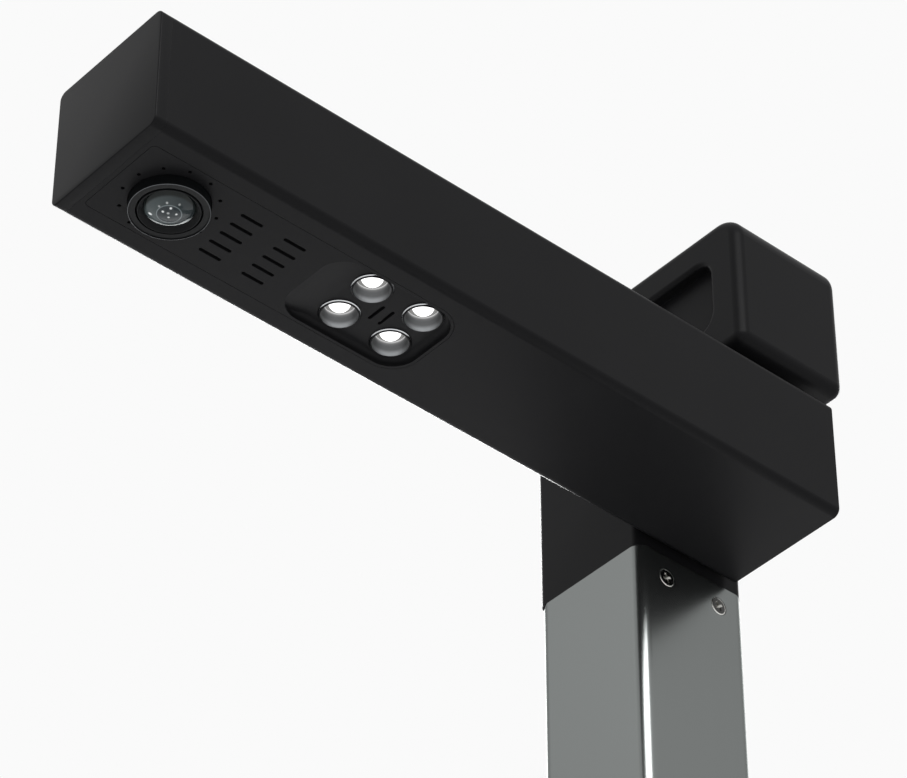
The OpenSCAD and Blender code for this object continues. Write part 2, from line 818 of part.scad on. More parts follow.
// Two disc springs back to back
module disc_springs() color(steel)
    for (s = [0, 1])
        translate([spring_x1 - (spring_t + spring_rise), 0, axis_z]) mirror([s, 0, 0]) rotate([0, 90, 0])
            rotate_extrude() polygon([
                [shaft_r + fit, spring_rise], [spring_r, thread_fit], [spring_r, spring_t],
                [shaft_r + fit, spring_rise + spring_t]
            ]);

module hinge_nut() color(steel)
    difference() {
        translate([nut_x1 - nut_t, 0, axis_z]) rotate([0, 90, 0]) cylinder(h = nut_t, r = nut_r, $fn = 6);
        rod_x(nut_x1 - nut_t - over, nut_x1 + over, shaft_r + thread_fit);
    }

// Arm housing

module arm_section(inset)
    rounded_rect(arm_w - 2 * inset, arm_h - 2 * inset, max(arm_edge_r - inset, over));

module main_post_places()
    for (sx = [-1, 1], e = [0, 1])
        translate([arm_cx + sx * (main_board_w / 2 - main_board_inset),
            main_board_y0 + main_board_inset + e * (main_board_l - 2 * main_board_inset), 0]) children();

module arm_shell() color(black_satin)
    difference() {
        union() {
            difference() {
                along_y(arm_y0 + cap_d, arm_y1, arm_cx, axis_z) arm_section(0);
                along_y(arm_y0, arm_y1 + over, arm_cx, axis_z) arm_section(arm_wall);
            }
            // ledge that the front half of the panel rests against, open where the panel's hooks pass
            difference() {
                along_z(arm_lift + arm_wall - ledge_t / 2, arm_lift + arm_wall + ledge_t, arm_cx, 0)
                    for (s = [-1, 1])
                        translate([s * (panel_w + ledge_out - ledge_in) / 2, (panel_y0 + recess_y0) / 2])
                            square([ledge_out + ledge_in, recess_y0 - panel_y0 - 2 * ledge_in],
                                center = true);
                along_z(arm_lift + arm_wall, arm_lift + arm_wall + ledge_t + over, arm_cx, hook_front_y)
                    square([2 * arm_w, hook_w + 2 * air], center = true);
            }
            main_post_places() translate([0, 0, main_board_z + board_t])
                cylinder(h = arm_top - main_board_z - board_t - arm_wall / 2, r = main_post_r);
        }
        along_z(arm_lift - over, arm_lift + arm_wall, arm_cx, panel_cy) panel_outline(fit);
        main_post_places() translate([0, 0, main_board_z])
            cylinder(h = board_t + main_screw_l, r = m3_r * pilot_share + thread_fit);
        rod_x(arm_x0 - over, arm_x0 + arm_wall + over, shaft_r + fit);
        flange_screw_places() screw_hole(m3_r, m3_head_r, arm_wall);
    }

module arm_front_cap() color(black_satin) {
    depth = 2 * cap_d + 2 * cap_edge_r;
    difference() {
        union() {
            difference() {
                translate([arm_cx, arm_y0 + depth / 2, axis_z]) rotate([90, 0, 0])
                    soft_slab(arm_w, arm_h, depth, arm_edge_r, arm_edge_r, cap_edge_r);
                along_y(arm_y0 + cap_d, arm_y0 + depth + over, arm_cx, axis_z)
                    square([2 * arm_w, 2 * arm_h], center = true);
            }
            along_y(arm_y0 + cap_plate_t, arm_y0 + cap_d + tongue_l, arm_cx, axis_z)
                arm_section(arm_wall + fit);
        }
        along_y(arm_y0 + cap_plate_t, arm_y0 + cap_d + tongue_l + over, arm_cx, axis_z)
            arm_section(arm_wall + fit + tongue_t);
        // the tongue is cut away where the panel lies
        along_z(arm_lift, arm_lift + arm_wall + ledge_t + tongue_t, arm_cx, panel_cy)
            square([panel_w + 2 * ledge_out + 2 * fit, panel_l + 2 * fit], center = true);
    }
}

// A plate with a rim that presses into the open end of the housing, notched round the hinge flange
module arm_rear_plug() color(black_satin)
    difference() {
        along_y(arm_y1 - plug_t - plug_rim_l, arm_y1, arm_cx, axis_z) arm_section(arm_wall + fit);
        along_y(arm_y1 - plug_t - plug_rim_l - over, arm_y1 - plug_t, arm_cx, axis_z)
            arm_section(arm_wall + fit + plug_rim_t);
        rod_x(arm_x0, arm_x0 + arm_wall + flange_t + air, flange_r + air);
    }

// Underside panel with the lamp recess moulded in

module recess_cut() {
    ramp_end = recess_y0 + ramp_l;
    intersection() {
        translate([arm_cx, recess_cy, arm_lift - over / 2])
            soft_slab(recess_w, recess_l, 2 * recess_d + over, recess_r, recess_r, floor_fillet_r);
        union() {
            translate([arm_cx - recess_w / 2 - over, ramp_end, arm_lift - over])
                cube([recess_w + 2 * over, recess_y1 - ramp_end + over, recess_d + over]);
            intersection() {
                translate([arm_cx, ramp_end, floor_z - ramp_r]) rotate([0, 90, 0])
                    cylinder(h = recess_w + 2 * over, r = ramp_r, center = true, $fn = 128);
                translate([arm_cx - recess_w / 2 - over, recess_y0 - over, arm_lift - over])
                    cube([recess_w + 2 * over, ramp_l + over, recess_d + over]);
            }
        }
    }
}

module lamp_places()
    for (sx = [-1, 1], sy = [-1, 1])
        translate([arm_cx + sx * lamp_pitch_x / 2, lamp_cy + sy * lamp_pitch_y / 2]) children();

module lamp_post_places()
    for (s = [-1, 1]) translate([arm_cx, recess_cy + s * lamp_post_y]) children();

module holder_post_places()
    for (sx = [-1, 1], sy = [-1, 1])
        translate([arm_cx + sx * holder_post_x, lens_y + sy * holder_post_y]) children();

// Snap hooks on the panel's two long sides catch the inner face of the housing's wall
module panel_hooks() {
    catch_z = arm_wall + fit;
    for (side = [0, 1], y = [hook_front_y, recess_cy])
        translate([arm_cx, y + hook_w / 2, arm_lift]) mirror([side, 0, 0]) rotate([90, 0, 0])
            linear_extrude(hook_w) translate([panel_w / 2, 0]) polygon([
                [-hook_t, arm_wall / 2], [0, arm_wall / 2], [0, catch_z], [hook_lip, catch_z],
                [hook_lip, catch_z + hook_lip], [0, hook_h], [-hook_t, hook_h]
            ]);
}

module underside_panel() color(black_satin) {
    inner = arm_lift + arm_wall;
    difference() {
        union() {
            along_z(arm_lift, inner, arm_cx, panel_cy) panel_outline(0);
            along_z(arm_lift, floor_z + tub_t, arm_cx, recess_cy)
                rounded_rect(recess_w + panel_margin, recess_l + panel_margin, recess_r + panel_margin / 2);
            holder_post_places() translate([0, 0, arm_lift + arm_wall / 2])
                cylinder(h = holder_z - arm_lift - arm_wall / 2, r = holder_post_r);
            lamp_post_places() translate([0, 0, floor_z])
                cylinder(h = lamp_board_z - floor_z, r = lamp_post_r);
            panel_hooks();
        }
        recess_cut();
        along_z(arm_lift - over, inner + over, arm_cx, lens_y) circle(barrel_r + barrel_hole_gap);
        along_z(arm_lift - over, inner + over, arm_cx, lens_y)
            for (i = [0 : ring_count - 1]) rotate((i + 1 / 2) * 360 / ring_count)
                translate([ring_r, 0]) circle(ring_hole_r);
        for (row = [0, 1], i = [0 : slot_count - 1])
            along_z(arm_lift - over, inner + over, arm_cx + (i - (slot_count - 1) / 2) * slot_pitch,
                slot_row_y + row * slot_row_gap) rotate(90) slot_2d(slot_l, slot_w);
        for (s = [-1, 1])
            along_z(arm_lift - over, floor_z + tub_t + over, arm_cx, lamp_cy + s * floor_slot_pitch / 2)
                slot_2d(floor_slot_l, floor_slot_w);
        lamp_places() translate([0, 0, arm_lift])
            cylinder(h = recess_d + tub_t + over, r = lamp_r + cup_rim + fit);
        holder_post_places() translate([0, 0, arm_lift + arm_wall])
            cylinder(h = holder_post_h + over, r = m3_r * pilot_share + thread_fit);
        lamp_post_places() translate([0, 0, lamp_board_z - lamp_screw_l + board_t])
            cylinder(h = lamp_screw_l, r = m3_r * pilot_share + thread_fit);
    }
}

// Lamps: four bright reflector cups with a light-emitting diode at the root of each

function cup_r(u) = cup_throat_r + (lamp_r - cup_throat_r) * pow(u, 1 / 2);

module lamp_reflectors() color(chrome)
    lamp_places() translate([0, 0, floor_z - cup_proud]) rotate_extrude() {
        shares = [for (i = [0 : cup_steps]) 1 - i / cup_steps];
        inner = [for (u = shares) [cup_r(u), cup_depth * (1 - u)]];
        outer = [for (i = [cup_steps : -1 : 0]) inner[i] + [cup_wall, 0]];
        polygon(concat(inner, outer));
        translate([lamp_r, 0]) square([cup_rim, cup_rim_t]);
    }

module lamp_leds() color(warm_white)
    lamp_places() translate([0, 0, lamp_board_z - led_base[2]]) {
        translate([-led_base[0] / 2, -led_base[1] / 2, 0]) cube(led_base);
        rotate_extrude() dome_2d(led_dome_r, led_dome_r, 0, led_dome_h, led_base[2] / 2);
    }

module lamp_board() color(board_green)
    difference() {
        along_z(lamp_board_z, lamp_board_z + board_t, arm_cx, recess_cy)
            rounded_rect(lamp_board_w, lamp_board_l, lamp_board_r);
        lamp_post_places() translate([0, 0, lamp_board_z - over])
            cylinder(h = board_t + 2 * over, r = m3_r + fit);
    }

module lamp_board_screws() color(steel)
    lamp_post_places() translate([0, 0, lamp_board_z + board_t]) pan_screw(lamp_screw_l);

// Lens: every ring and glass is a revolve about the lens axis

module lens_turn() translate([arm_cx, lens_y, 0]) rotate_extrude() children();

module lens_barrel() color(black_dark) {
    face_r = barrel_r - barrel_lip_w;
    groove_r = face_r - barrel_face_w;
    lens_turn() difference() {
        union() {
            translate([0, lens_z]) square([barrel_r, barrel_flange_z - lens_z]);
            translate([0, lens_z + groove_d]) square([barrel_tail_r, barrel_tail_z - lens_z - groove_d]);
        }
        translate([0, lens_z - over]) square([face_r, barrel_lip_d + over]);
        translate([0, lens_z - over]) square([groove_r, groove_d + over]);
        translate([0, lens_z - over]) square([glass_r + fit, glass_rim_d + glass_t + over]);
        translate([0, lens_z]) square([stage_r, barrel_tail_z - lens_z - over]);
        translate([0, lens_z]) square([cell_hole_r, barrel_tail_z - lens_z + over]);
    }
}

module lens_hood() color(black_dark) {
    hood_r = barrel_r - barrel_lip_w - barrel_face_w - groove_w;
    lens_turn() translate([0, lens_z]) polygon([
        [hood_r, hood_face_d], [hood_r, groove_d], [glass_r + fit, groove_d], [glass_r + fit, hood_d],
        [glass_r - fit, hood_lip_d], [hood_r - hood_face_w, hood_face_d]
    ]);
}

// A glass with a domed front on a plain cylindrical rim that starts at rim_z
module dome_2d(dome_r, rim_r, rim_z, dome_h, t) {
    ball_r = (dome_r * dome_r + dome_h * dome_h) / (2 * dome_h);
    intersection() {
        translate([0, rim_z - dome_h + ball_r]) circle(ball_r, $fn = 128);
        translate([0, rim_z - dome_h]) square([dome_r, dome_h + t]);
    }
    translate([0, rim_z]) square([rim_r, t]);
}

module front_lens() color(glass_tone)
    lens_turn() dome_2d(glass_r, glass_r, lens_z + glass_rim_d, glass_dome_h, glass_t);

module lens_cell() color(black_dark)
    lens_turn() translate([0, lens_z + cell_d]) difference() {
        square([stage_r - thread_fit, cell_t]);
        translate([0, -over]) square([cell_hole_r, cell_t + 2 * over]);
        translate([0, cell_ledge_t]) square([cell_r, cell_t]);
    }

// The second glass stands on the ledge of its cell
module inner_lens() color(glass_tone)
    lens_turn() dome_2d(cell_hole_r - fit, cell_r - thread_fit, lens_z + cell_d + cell_ledge_t,
        inner_dome_h, inner_lens_t);

module camera_board_places()
    for (sx = [-1, 1], sy = [-1, 1])
        translate([arm_cx + sx * (camera_board_w / 2 - camera_board_inset),
            lens_y + sy * (camera_board_w / 2 - camera_board_inset)]) children();

module lens_holder() color(black_dark)
    difference() {
        union() {
            along_z(holder_z, holder_z + holder_t, arm_cx, lens_y)
                rounded_rect(holder_w, holder_l, holder_r);
            along_z(holder_z, holder_top_z, arm_cx, lens_y) circle(barrel_tail_r + holder_wall);
            along_z(holder_top_z, camera_board_z, arm_cx, lens_y)
                rounded_rect(camera_board_w, camera_board_w, camera_board_inset);
            camera_board_places() translate([0, 0, holder_top_z + holder_t - camera_screw_l])
                cylinder(h = camera_screw_l - holder_t / 2, r = m3_r + holder_wall / 2);
        }
        along_z(holder_z - over, camera_board_z + over, arm_cx, lens_y) circle(barrel_tail_r + thread_fit);
        holder_post_places() translate([0, 0, holder_z - over])
            cylinder(h = holder_t + 2 * over, r = m3_r + fit);
        camera_board_places() translate([0, 0, camera_board_z - camera_screw_l])
            cylinder(h = camera_screw_l + over, r = m3_r * pilot_share + thread_fit);
    }

module camera_board() color(board_green)
    difference() {
        along_z(camera_board_z, camera_board_z + board_t, arm_cx, lens_y)
            rounded_rect(camera_board_w, camera_board_w, camera_board_inset);
        camera_board_places() translate([0, 0, camera_board_z - over])
            cylinder(h = board_t + 2 * over, r = m3_r + fit);
    }

module image_sensor() color(black_dark)
    translate([arm_cx, lens_y, camera_board_z - sensor[2] / 2]) {
        cube(sensor, center = true);
        translate([0, 0, -sensor[2] / 2]) cube(sensor_window, center = true);
    }

module camera_screws() color(steel) {
    camera_board_places() translate([0, 0, camera_board_z + board_t]) pan_screw(camera_screw_l);
    holder_post_places() translate([0, 0, holder_z + holder_t]) pan_screw(camera_screw_l);
}

module main_board() color(board_green)
    difference() {
        union() {
            translate([arm_cx - main_board_w / 2, main_board_y0, main_board_z])
                cube([main_board_w, main_board_l, board_t]);
            translate([arm_cx - chip[0] / 2, sink_cy - chip[1] / 2, main_board_z - chip[2]]) cube(chip);
            translate([arm_cx - plug_block[0] / 2, main_board_y0 + main_board_l - 2 * plug_block[1],
                main_board_z - plug_block[2]]) cube(plug_block);
        }
        main_post_places() translate([0, 0, main_board_z - over])
            cylinder(h = board_t + 2 * over, r = m3_r + fit);
    }

module heat_sink() color(anodised) {
    sink_z = main_board_z - chip[2] - sink_base_t;
    fin_step = (sink_w - sink_fin_t) / (sink_fins - 1);
    translate([arm_cx - sink_w / 2, sink_cy - sink_l / 2, sink_z]) cube([sink_w, sink_l, sink_base_t]);
    for (i = [0 : sink_fins - 1])
        translate([arm_cx - sink_w / 2 + i * fin_step, sink_cy - sink_l / 2, sink_z - sink_fin_h])
            cube([sink_fin_t, sink_l, sink_fin_h + sink_base_t / 2]);
}

module main_board_screws() color(steel)
    main_post_places() translate([0, 0, main_board_z]) mirror([0, 0, 1]) pan_screw(main_screw_l);

rubber_sole();
base_plate();
base_cover();
cover_screws();
column_screws();
column_tube();
spigot_screws();
head_housing();
head_rear_cover();
rear_cover_screws();
io_board();
usb_socket();
io_board_screws();
hinge_bracket();
bracket_screws();
hinge_bush();
arm_shell();
arm_front_cap();
arm_rear_plug();
underside_panel();
lamp_reflectors();
lamp_leds();
lamp_board();
lamp_board_screws();
lens_barrel();
lens_hood();
front_lens();
lens_cell();
inner_lens();
lens_holder();
camera_board();
image_sensor();
camera_screws();
main_board();
heat_sink();
main_board_screws();
hinge_shaft();
shaft_screws();
stop_washer();
disc_springs();
hinge_nut();
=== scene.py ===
# Overhead document scanner: a black camera arm hangs beside an aluminium column on a weighted base.
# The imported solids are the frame. Each section below finishes one piece or group of like pieces, in
# the order in which the object is put together, and the studio comes first.
import math

import bmesh
import bpy
from mathutils import Matrix, Vector


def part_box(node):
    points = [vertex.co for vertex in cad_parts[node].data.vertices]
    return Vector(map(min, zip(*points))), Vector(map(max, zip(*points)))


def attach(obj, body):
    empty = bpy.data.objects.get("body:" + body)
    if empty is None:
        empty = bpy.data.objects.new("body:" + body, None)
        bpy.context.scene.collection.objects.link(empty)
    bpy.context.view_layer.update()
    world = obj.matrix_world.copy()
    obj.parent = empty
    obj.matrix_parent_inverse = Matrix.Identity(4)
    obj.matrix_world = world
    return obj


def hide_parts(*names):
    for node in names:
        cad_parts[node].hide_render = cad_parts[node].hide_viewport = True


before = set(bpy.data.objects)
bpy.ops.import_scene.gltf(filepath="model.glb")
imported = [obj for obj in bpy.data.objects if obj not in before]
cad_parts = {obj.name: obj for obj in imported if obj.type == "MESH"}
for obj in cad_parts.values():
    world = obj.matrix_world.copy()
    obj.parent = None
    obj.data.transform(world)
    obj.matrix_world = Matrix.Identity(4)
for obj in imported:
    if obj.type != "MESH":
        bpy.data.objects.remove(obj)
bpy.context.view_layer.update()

# Camera
# The photograph looks up from below the desk's front right corner through a long lens, so that the
# arm's underside shows. The view was solved from the arm's straight edges.
view_azimuth = 48.854
view_elevation = -39.809
view_distance = 1.5
view_target = Vector((0.0708, -0.1610, 0.3756))
focal_length_mm = 163.57
film_width_mm = 36.0


def direction(azimuth, elevation):
    """Unit vector from the object towards a viewer or a lamp. Azimuth 0 is in front, 90 on the right."""
    a, e = math.radians(azimuth), math.radians(elevation)
    return Vector((math.sin(a) * math.cos(e), -math.cos(a) * math.cos(e), math.sin(e)))


def place_facing(obj, azimuth, elevation, distance, target):
    """Puts a camera or a lamp round the target and turns it to face the target."""
    towards = direction(azimuth, elevation)
    obj.location = Vector(target) + distance * towards
    obj.rotation_euler = (-towards).to_track_quat("-Z", "Y").to_euler()
    bpy.context.scene.collection.objects.link(obj)
    return obj


camera_data = bpy.data.cameras.new("camera")
camera_data.lens = focal_length_mm
camera_data.sensor_width = film_width_mm
camera_data.clip_start = 0.05
camera = place_facing(
    bpy.data.objects.new("camera", camera_data),
    view_azimuth, view_elevation, view_distance, view_target,
)
bpy.context.scene.camera = camera
bpy.context.scene.view_settings.view_transform = "Standard"

# Studio
# A pale sweep of floor, an even pale sky and five soft boxes. The banks behind draw the bright lines on
# the far edges. The floor is lit so that it lights the arm's underside, and is clear from below.
def linear(hex_colour):
    """An sRGB hex colour as linear RGBA."""
    parts = [int(hex_colour[i : i + 2], 16) / 255 for i in (1, 3, 5)]
    return tuple(c / 12.92 if c <= 0.04045 else ((c + 0.055) / 1.055) ** 2.4 for c in parts) + (1.0,)


def node(tree, kind, inputs=None, **settings):
    """Adds a node. Settings are its own properties; an input is a value or a (node, output) pair."""
    made = tree.nodes.new(kind)
    for name, value in settings.items():
        setattr(made, name, value)
    for name, value in (inputs or {}).items():
        if isinstance(value, tuple) and isinstance(value[0], bpy.types.Node):
            tree.links.new(value[0].outputs[value[1]], made.inputs[name])
        else:
            made.inputs[name].default_value = value
    return made


def seen_or_mirrored(tree):
    """1 for what the camera sees directly, in a reflection or through glass, and 0 for lighting."""
    path = node(tree, "ShaderNodeLightPath")
    seen = node(
        tree, "ShaderNodeMath", {0: (path, "Is Camera Ray"), 1: (path, "Is Glossy Ray")},
        operation="MAXIMUM",
    )
    return node(
        tree, "ShaderNodeMath", {0: (seen, 0), 1: (path, "Is Transmission Ray")},
        operation="MAXIMUM",
    )


paper_white = linear("#fafafa")
sky_strength = 0.7

world = bpy.data.worlds.new("pale_sky")
bpy.context.scene.world = world
world.use_nodes = True
sky = world.node_tree
sky.nodes.clear()
lighting = node(sky, "ShaderNodeBackground", {"Color": linear("#ffffff"), "Strength": sky_strength})
backdrop = node(sky, "ShaderNodeBackground", {"Color": paper_white, "Strength": 1.0})
sky_mix = node(
    sky, "ShaderNodeMixShader", {0: (seen_or_mirrored(sky), 0), 1: (lighting, 0), 2: (backdrop, 0)}
)
node(sky, "ShaderNodeOutputWorld", {"Surface": (sky_mix, 0)})

# The floor's measures are in metres. It lies a hair below the sole, so that the two faces never flicker.
floor_radius = 4.0
floor_fade_start = 0.9
floor_fade_end = 2.6
floor_drop = 0.0002
floor_mesh = bpy.data.meshes.new("floor")
floor_bm = bmesh.new()
bmesh.ops.create_circle(floor_bm, cap_ends=True, segments=96, radius=floor_radius)
floor_bm.to_mesh(floor_mesh)
floor_bm.free()
floor = bpy.data.objects.new("floor", floor_mesh)
floor.location.z = -floor_drop
bpy.context.scene.collection.objects.link(floor)

floor_material = bpy.data.materials.new("pale_matt_floor")
floor_material.use_nodes = True
tree = floor_material.node_tree
tree.nodes.clear()
paint = node(tree, "ShaderNodeBsdfDiffuse", {"Color": linear("#ececec")})
clear = node(tree, "ShaderNodeBsdfTransparent")
where = node(tree, "ShaderNodeTexCoord")
reach = node(tree, "ShaderNodeVectorMath", {0: (where, "Object")}, operation="LENGTH")
fade = node(
    tree, "ShaderNodeMapRange",
    {"Value": (reach, "Value"), "From Min": floor_fade_start, "From Max": floor_fade_end},
    interpolation_type="SMOOTHSTEP",
)
side = node(tree, "ShaderNodeNewGeometry")
open_share = node(tree, "ShaderNodeMath", {0: (fade, 0), 1: (side, "Backfacing")}, operation="MAXIMUM")
floor_mix = node(tree, "ShaderNodeMixShader", {0: (open_share, 0), 1: (paint, 0), 2: (clear, 0)})
node(tree, "ShaderNodeOutputMaterial", {"Surface": (floor_mix, 0)})
floor_mesh.materials.append(floor_material)


def soft_box(name, azimuth, elevation, distance, size, power, target):
    """A rectangular area lamp: angles in degrees, distance and size in metres, power in watts."""
    lamp = bpy.data.lights.new(name, "AREA")
    lamp.shape = "RECTANGLE"
    lamp.size, lamp.size_y = size
    lamp.energy = power
    return place_facing(bpy.data.objects.new(name, lamp), azimuth, elevation, distance, target)


column_head = (0.03, -0.03, 0.35)
arm_middle = (0.06, -0.2, 0.4)
seen_floor = (-0.3, 0.14, 0.0)
soft_box("key_bank", 60, 38, 1.2, (0.95, 0.32), 10, column_head)
soft_box("front_box", -49, 40, 1.3, (0.5, 0.5), 0.28, arm_middle)
soft_box("rear_bank", 212, 35, 1.2, (1.3, 0.35), 8, column_head)
soft_box("left_bank", -113, 28, 1.2, (1.0, 0.6), 8, column_head)
soft_box("floor_box", -131, 60, 1.0, (0.6, 0.6), 11, seen_floor)

# Rubber sole
# A full sheet of matt black rubber glued under the base keeps the stand from sliding. Its face is
# dull and slightly mottled, as calendered rubber is.
# Real sizes from here on are in millimetres, and Blender's unit is the metre.
MM = 0.001


def new_material(name):
    """An empty node material and its tree."""
    made = bpy.data.materials.new(name)
    made.use_nodes = True
    made.node_tree.nodes.clear()
    return made, made.node_tree


def per_mm(size_mm):
    """A noise or wave scale whose features are this many millimetres apart."""
    return 1 / (size_mm * MM)


def calendered_rubber():
    made, tree = new_material("calendered_rubber")
    place = node(tree, "ShaderNodeTexCoord")
    spot = node(tree, "ShaderNodeTexNoise", {"Vector": (place, "Object"), "Scale": per_mm(3), "Detail": 4.0})
    tone = node(
        tree, "ShaderNodeMix", {"Factor": (spot, "Fac"), "A": linear("#131313"), "B": linear("#1d1d1d")},
        data_type="RGBA",
    )
    bump = node(tree, "ShaderNodeBump", {"Height": (spot, "Fac"), "Strength": 0.3, "Distance": 0.1 * MM})
    shader = node(
        tree, "ShaderNodeBsdfPrincipled",
        {"Base Color": (tone, "Result"), "Roughness": 0.8, "Specular IOR Level": 0.2, "Normal": (bump, 0)},
    )
    node(tree, "ShaderNodeOutputMaterial", {"Surface": (shader, 0)})
    return made


def finish_node(name, material):
    """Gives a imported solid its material."""
    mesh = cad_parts[name].data
    mesh.materials.clear()
    mesh.materials.append(material)


finish_node("rubber_sole", calendered_rubber())

# Base plate and its screws
# An 8 mm steel plate gives the stand its weight. It is cut from zinc-plated sheet, whose cloudy
# crystal bloom gives a cool grey that is neither dull nor bright. The inner screws, the hinge's steel
# pieces and the socket's shell are plated alike.
def zinc_plated_steel():
    made, tree = new_material("zinc_plated_steel")
    place = node(tree, "ShaderNodeTexCoord")
    cloud = node(tree, "ShaderNodeTexNoise", {"Vector": (place, "Object"), "Scale": per_mm(2), "Detail": 3.0})
    tone = node(
        tree, "ShaderNodeMix", {"Factor": (cloud, "Fac"), "A": linear("#8f9598"), "B": linear("#aeb3b6")},
        data_type="RGBA",
    )
    rough = node(tree, "ShaderNodeMapRange", {"Value": (cloud, "Fac"), "To Min": 0.25, "To Max": 0.42})
    shader = node(
        tree, "ShaderNodeBsdfPrincipled",
        {"Base Color": (tone, "Result"), "Metallic": 1.0, "Roughness": (rough, 0)},
    )
    node(tree, "ShaderNodeOutputMaterial", {"Surface": (shader, 0)})
    return made


zinc = zinc_plated_steel()
for name in (
    "base_plate", "cover_screws", "column_screws", "rear_cover_screws", "io_board_screws", "hinge_bracket",
    "bracket_screws", "usb_socket", "lamp_board_screws", "camera_screws", "main_board_screws", "hinge_shaft",
    "shaft_screws", "stop_washer", "disc_springs", "hinge_nut",
):
    finish_node(name, zinc)

# Base cover
# A moulded ABS cover drops over the steel plate. The mould is spark eroded, which leaves the whole
# skin a fine, even satin grain that scatters most of the plastic's gloss. The head and the arm are
# moulded alike.
abs_low = "#101011"
abs_high = "#151516"
edge_softness = 0.2 * MM


def moulded_abs():
    made, tree = new_material("moulded_abs")
    place = node(tree, "ShaderNodeTexCoord")
    # The real grain is about 0.1 mm; it is drawn at 0.5 mm so that it shows.
    grain = node(
        tree, "ShaderNodeTexNoise", {"Vector": (place, "Object"), "Scale": per_mm(0.5), "Detail": 3.0}
    )
    sweep = node(
        tree, "ShaderNodeTexNoise", {"Vector": (place, "Object"), "Scale": per_mm(60), "Detail": 2.0}
    )
    tone = node(
        tree, "ShaderNodeMix", {"Factor": (sweep, "Fac"), "A": linear(abs_low), "B": linear(abs_high)},
        data_type="RGBA",
    )
    rough = node(tree, "ShaderNodeMapRange", {"Value": (sweep, "Fac"), "To Min": 0.36, "To Max": 0.40})
    edges = node(tree, "ShaderNodeBevel", {"Radius": edge_softness}, samples=4)
    bump = node(
        tree, "ShaderNodeBump",
        {"Height": (grain, "Fac"), "Strength": 0.1, "Distance": 0.05 * MM, "Normal": (edges, 0)},
    )
    shader = node(
        tree, "ShaderNodeBsdfPrincipled",
        {
            "Base Color": (tone, "Result"), "Roughness": (rough, 0),
            "Specular IOR Level": 0.044, "Normal": (bump, 0),
        },
    )
    node(tree, "ShaderNodeOutputMaterial", {"Surface": (shader, 0)})
    return made


abs_black = moulded_abs()
for name in (
    "base_cover", "head_housing", "head_rear_cover", "arm_shell", "arm_rear_plug", "underside_panel",
):
    finish_node(name, abs_black)

# Column
# A natural anodised aluminium extrusion. The die leaves faint lines along its length under the
# satin skin. The heat sink inside the arm is an anodised extrusion too.
die_line_stretch = 0.004


def anodised_aluminium():
    """A satin skin on bright metal: soft, level greys, with a sharper line on the corners."""
    made, tree = new_material("anodised_aluminium")
    place = node(tree, "ShaderNodeTexCoord")
    # Die lines are about 0.1 mm apart; they are drawn at 0.6 mm so that they show.
    along = node(
        tree, "ShaderNodeMapping", {"Vector": (place, "Object"), "Scale": (1.0, 1.0, die_line_stretch)}
    )
    lines = node(tree, "ShaderNodeTexNoise", {"Vector": (along, 0), "Scale": per_mm(0.6), "Detail": 2.0})
    tone = node(
        tree, "ShaderNodeMix", {"Factor": (lines, "Fac"), "A": linear("#7a7d7c"), "B": linear("#7c7f7e")},
        data_type="RGBA",
    )
    rough = node(tree, "ShaderNodeMapRange", {"Value": (lines, "Fac"), "To Min": 0.265, "To Max": 0.275})
    shader = node(
        tree, "ShaderNodeBsdfPrincipled",
        {
            "Base Color": (tone, "Result"), "Metallic": 1.0, "Roughness": (rough, 0),
            "Specular Tint": linear("#9a9a9a"),
        },
    )
    node(tree, "ShaderNodeOutputMaterial", {"Surface": (shader, 0)})
    return made


anodised = anodised_aluminium()
finish_node("column_tube", anodised)
finish_node("heat_sink", anodised)

# Column's upper screws
# Four countersunk cross-head screws, cold headed and nickel plated, hold the column to the head's
# spigot. The rolled rim and the punched cross's flanks carry a painted highlight, the flat face a painted
# shade.
m4_shank_r = 2.0
m4_head_r = 3.9
m4_head_land = 0.3
spigot_screw_l = 7.0
shank_end_softness = 0.3
nickel_rim = 0.5
cross_reach = 2.5
cross_width = 1.15
cross_depth = 1.7
cross_taper_share = 0.3
cross_overrun = 0.5
cross_spin_front = 25
cross_spin_rear = 32
face_tolerance = 0.01
sharp_edge_deg = 32


def softened(corners, steps=5):
    """Rounds the corners of an outline of (radius, rise, softness) points in millimetres."""
    points = []
    for i, (radius, rise, softness) in enumerate(corners):
        here = Vector((radius, rise))
        if not softness:
            points.append(here)
            continue
        before = Vector(corners[i - 1][:2])
        after = Vector(corners[(i + 1) % len(corners)][:2])
        start = here + (before - here).normalized() * softness
        end = here + (after - here).normalized() * softness
        for step in range(steps + 1):
            u = step / steps
            points.append(start * (1 - u) ** 2 + here * 2 * u * (1 - u) + end * u * u)
    return points


def turn(bm, outline, place, segments=96):
    """Turns a closed outline of (radius, rise) points in millimetres about a place's Z axis."""
    rings = []
    for radius, rise in outline:
        count = segments if radius > 0 else 1
        turns = [2 * math.pi * i / segments for i in range(count)]
        spots = [Vector((radius * math.cos(t), radius * math.sin(t), rise)) * MM for t in turns]
        rings.append([bm.verts.new(place @ spot) for spot in spots])
    for low, high in zip(rings, rings[1:] + rings[:1]):
        for i in range(segments if len(low) + len(high) > 2 else 0):
            j = (i + 1) % segments
            corners = [low[i % len(low)], low[j % len(low)], high[j % len(high)], high[i % len(high)]]
            # On the axis two corners are one point, and the face has three sides.
            bm.faces.new(dict.fromkeys(corners))


def new_piece(name, bm, materials, body, replaced):
    """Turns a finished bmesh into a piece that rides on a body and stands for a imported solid."""
    bmesh.ops.recalc_face_normals(bm, faces=bm.faces)
    mesh = bpy.data.meshes.new(name)
    bm.to_mesh(mesh)
    bm.free()
    mesh.shade_smooth()
    mesh.set_sharp_from_angle(angle=math.radians(sharp_edge_deg))
    for material in materials:
        mesh.materials.append(material)
    piece = bpy.data.objects.new(name, mesh)
    bpy.context.scene.collection.objects.link(piece)
    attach(piece, body)
    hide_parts(replaced)
    return piece


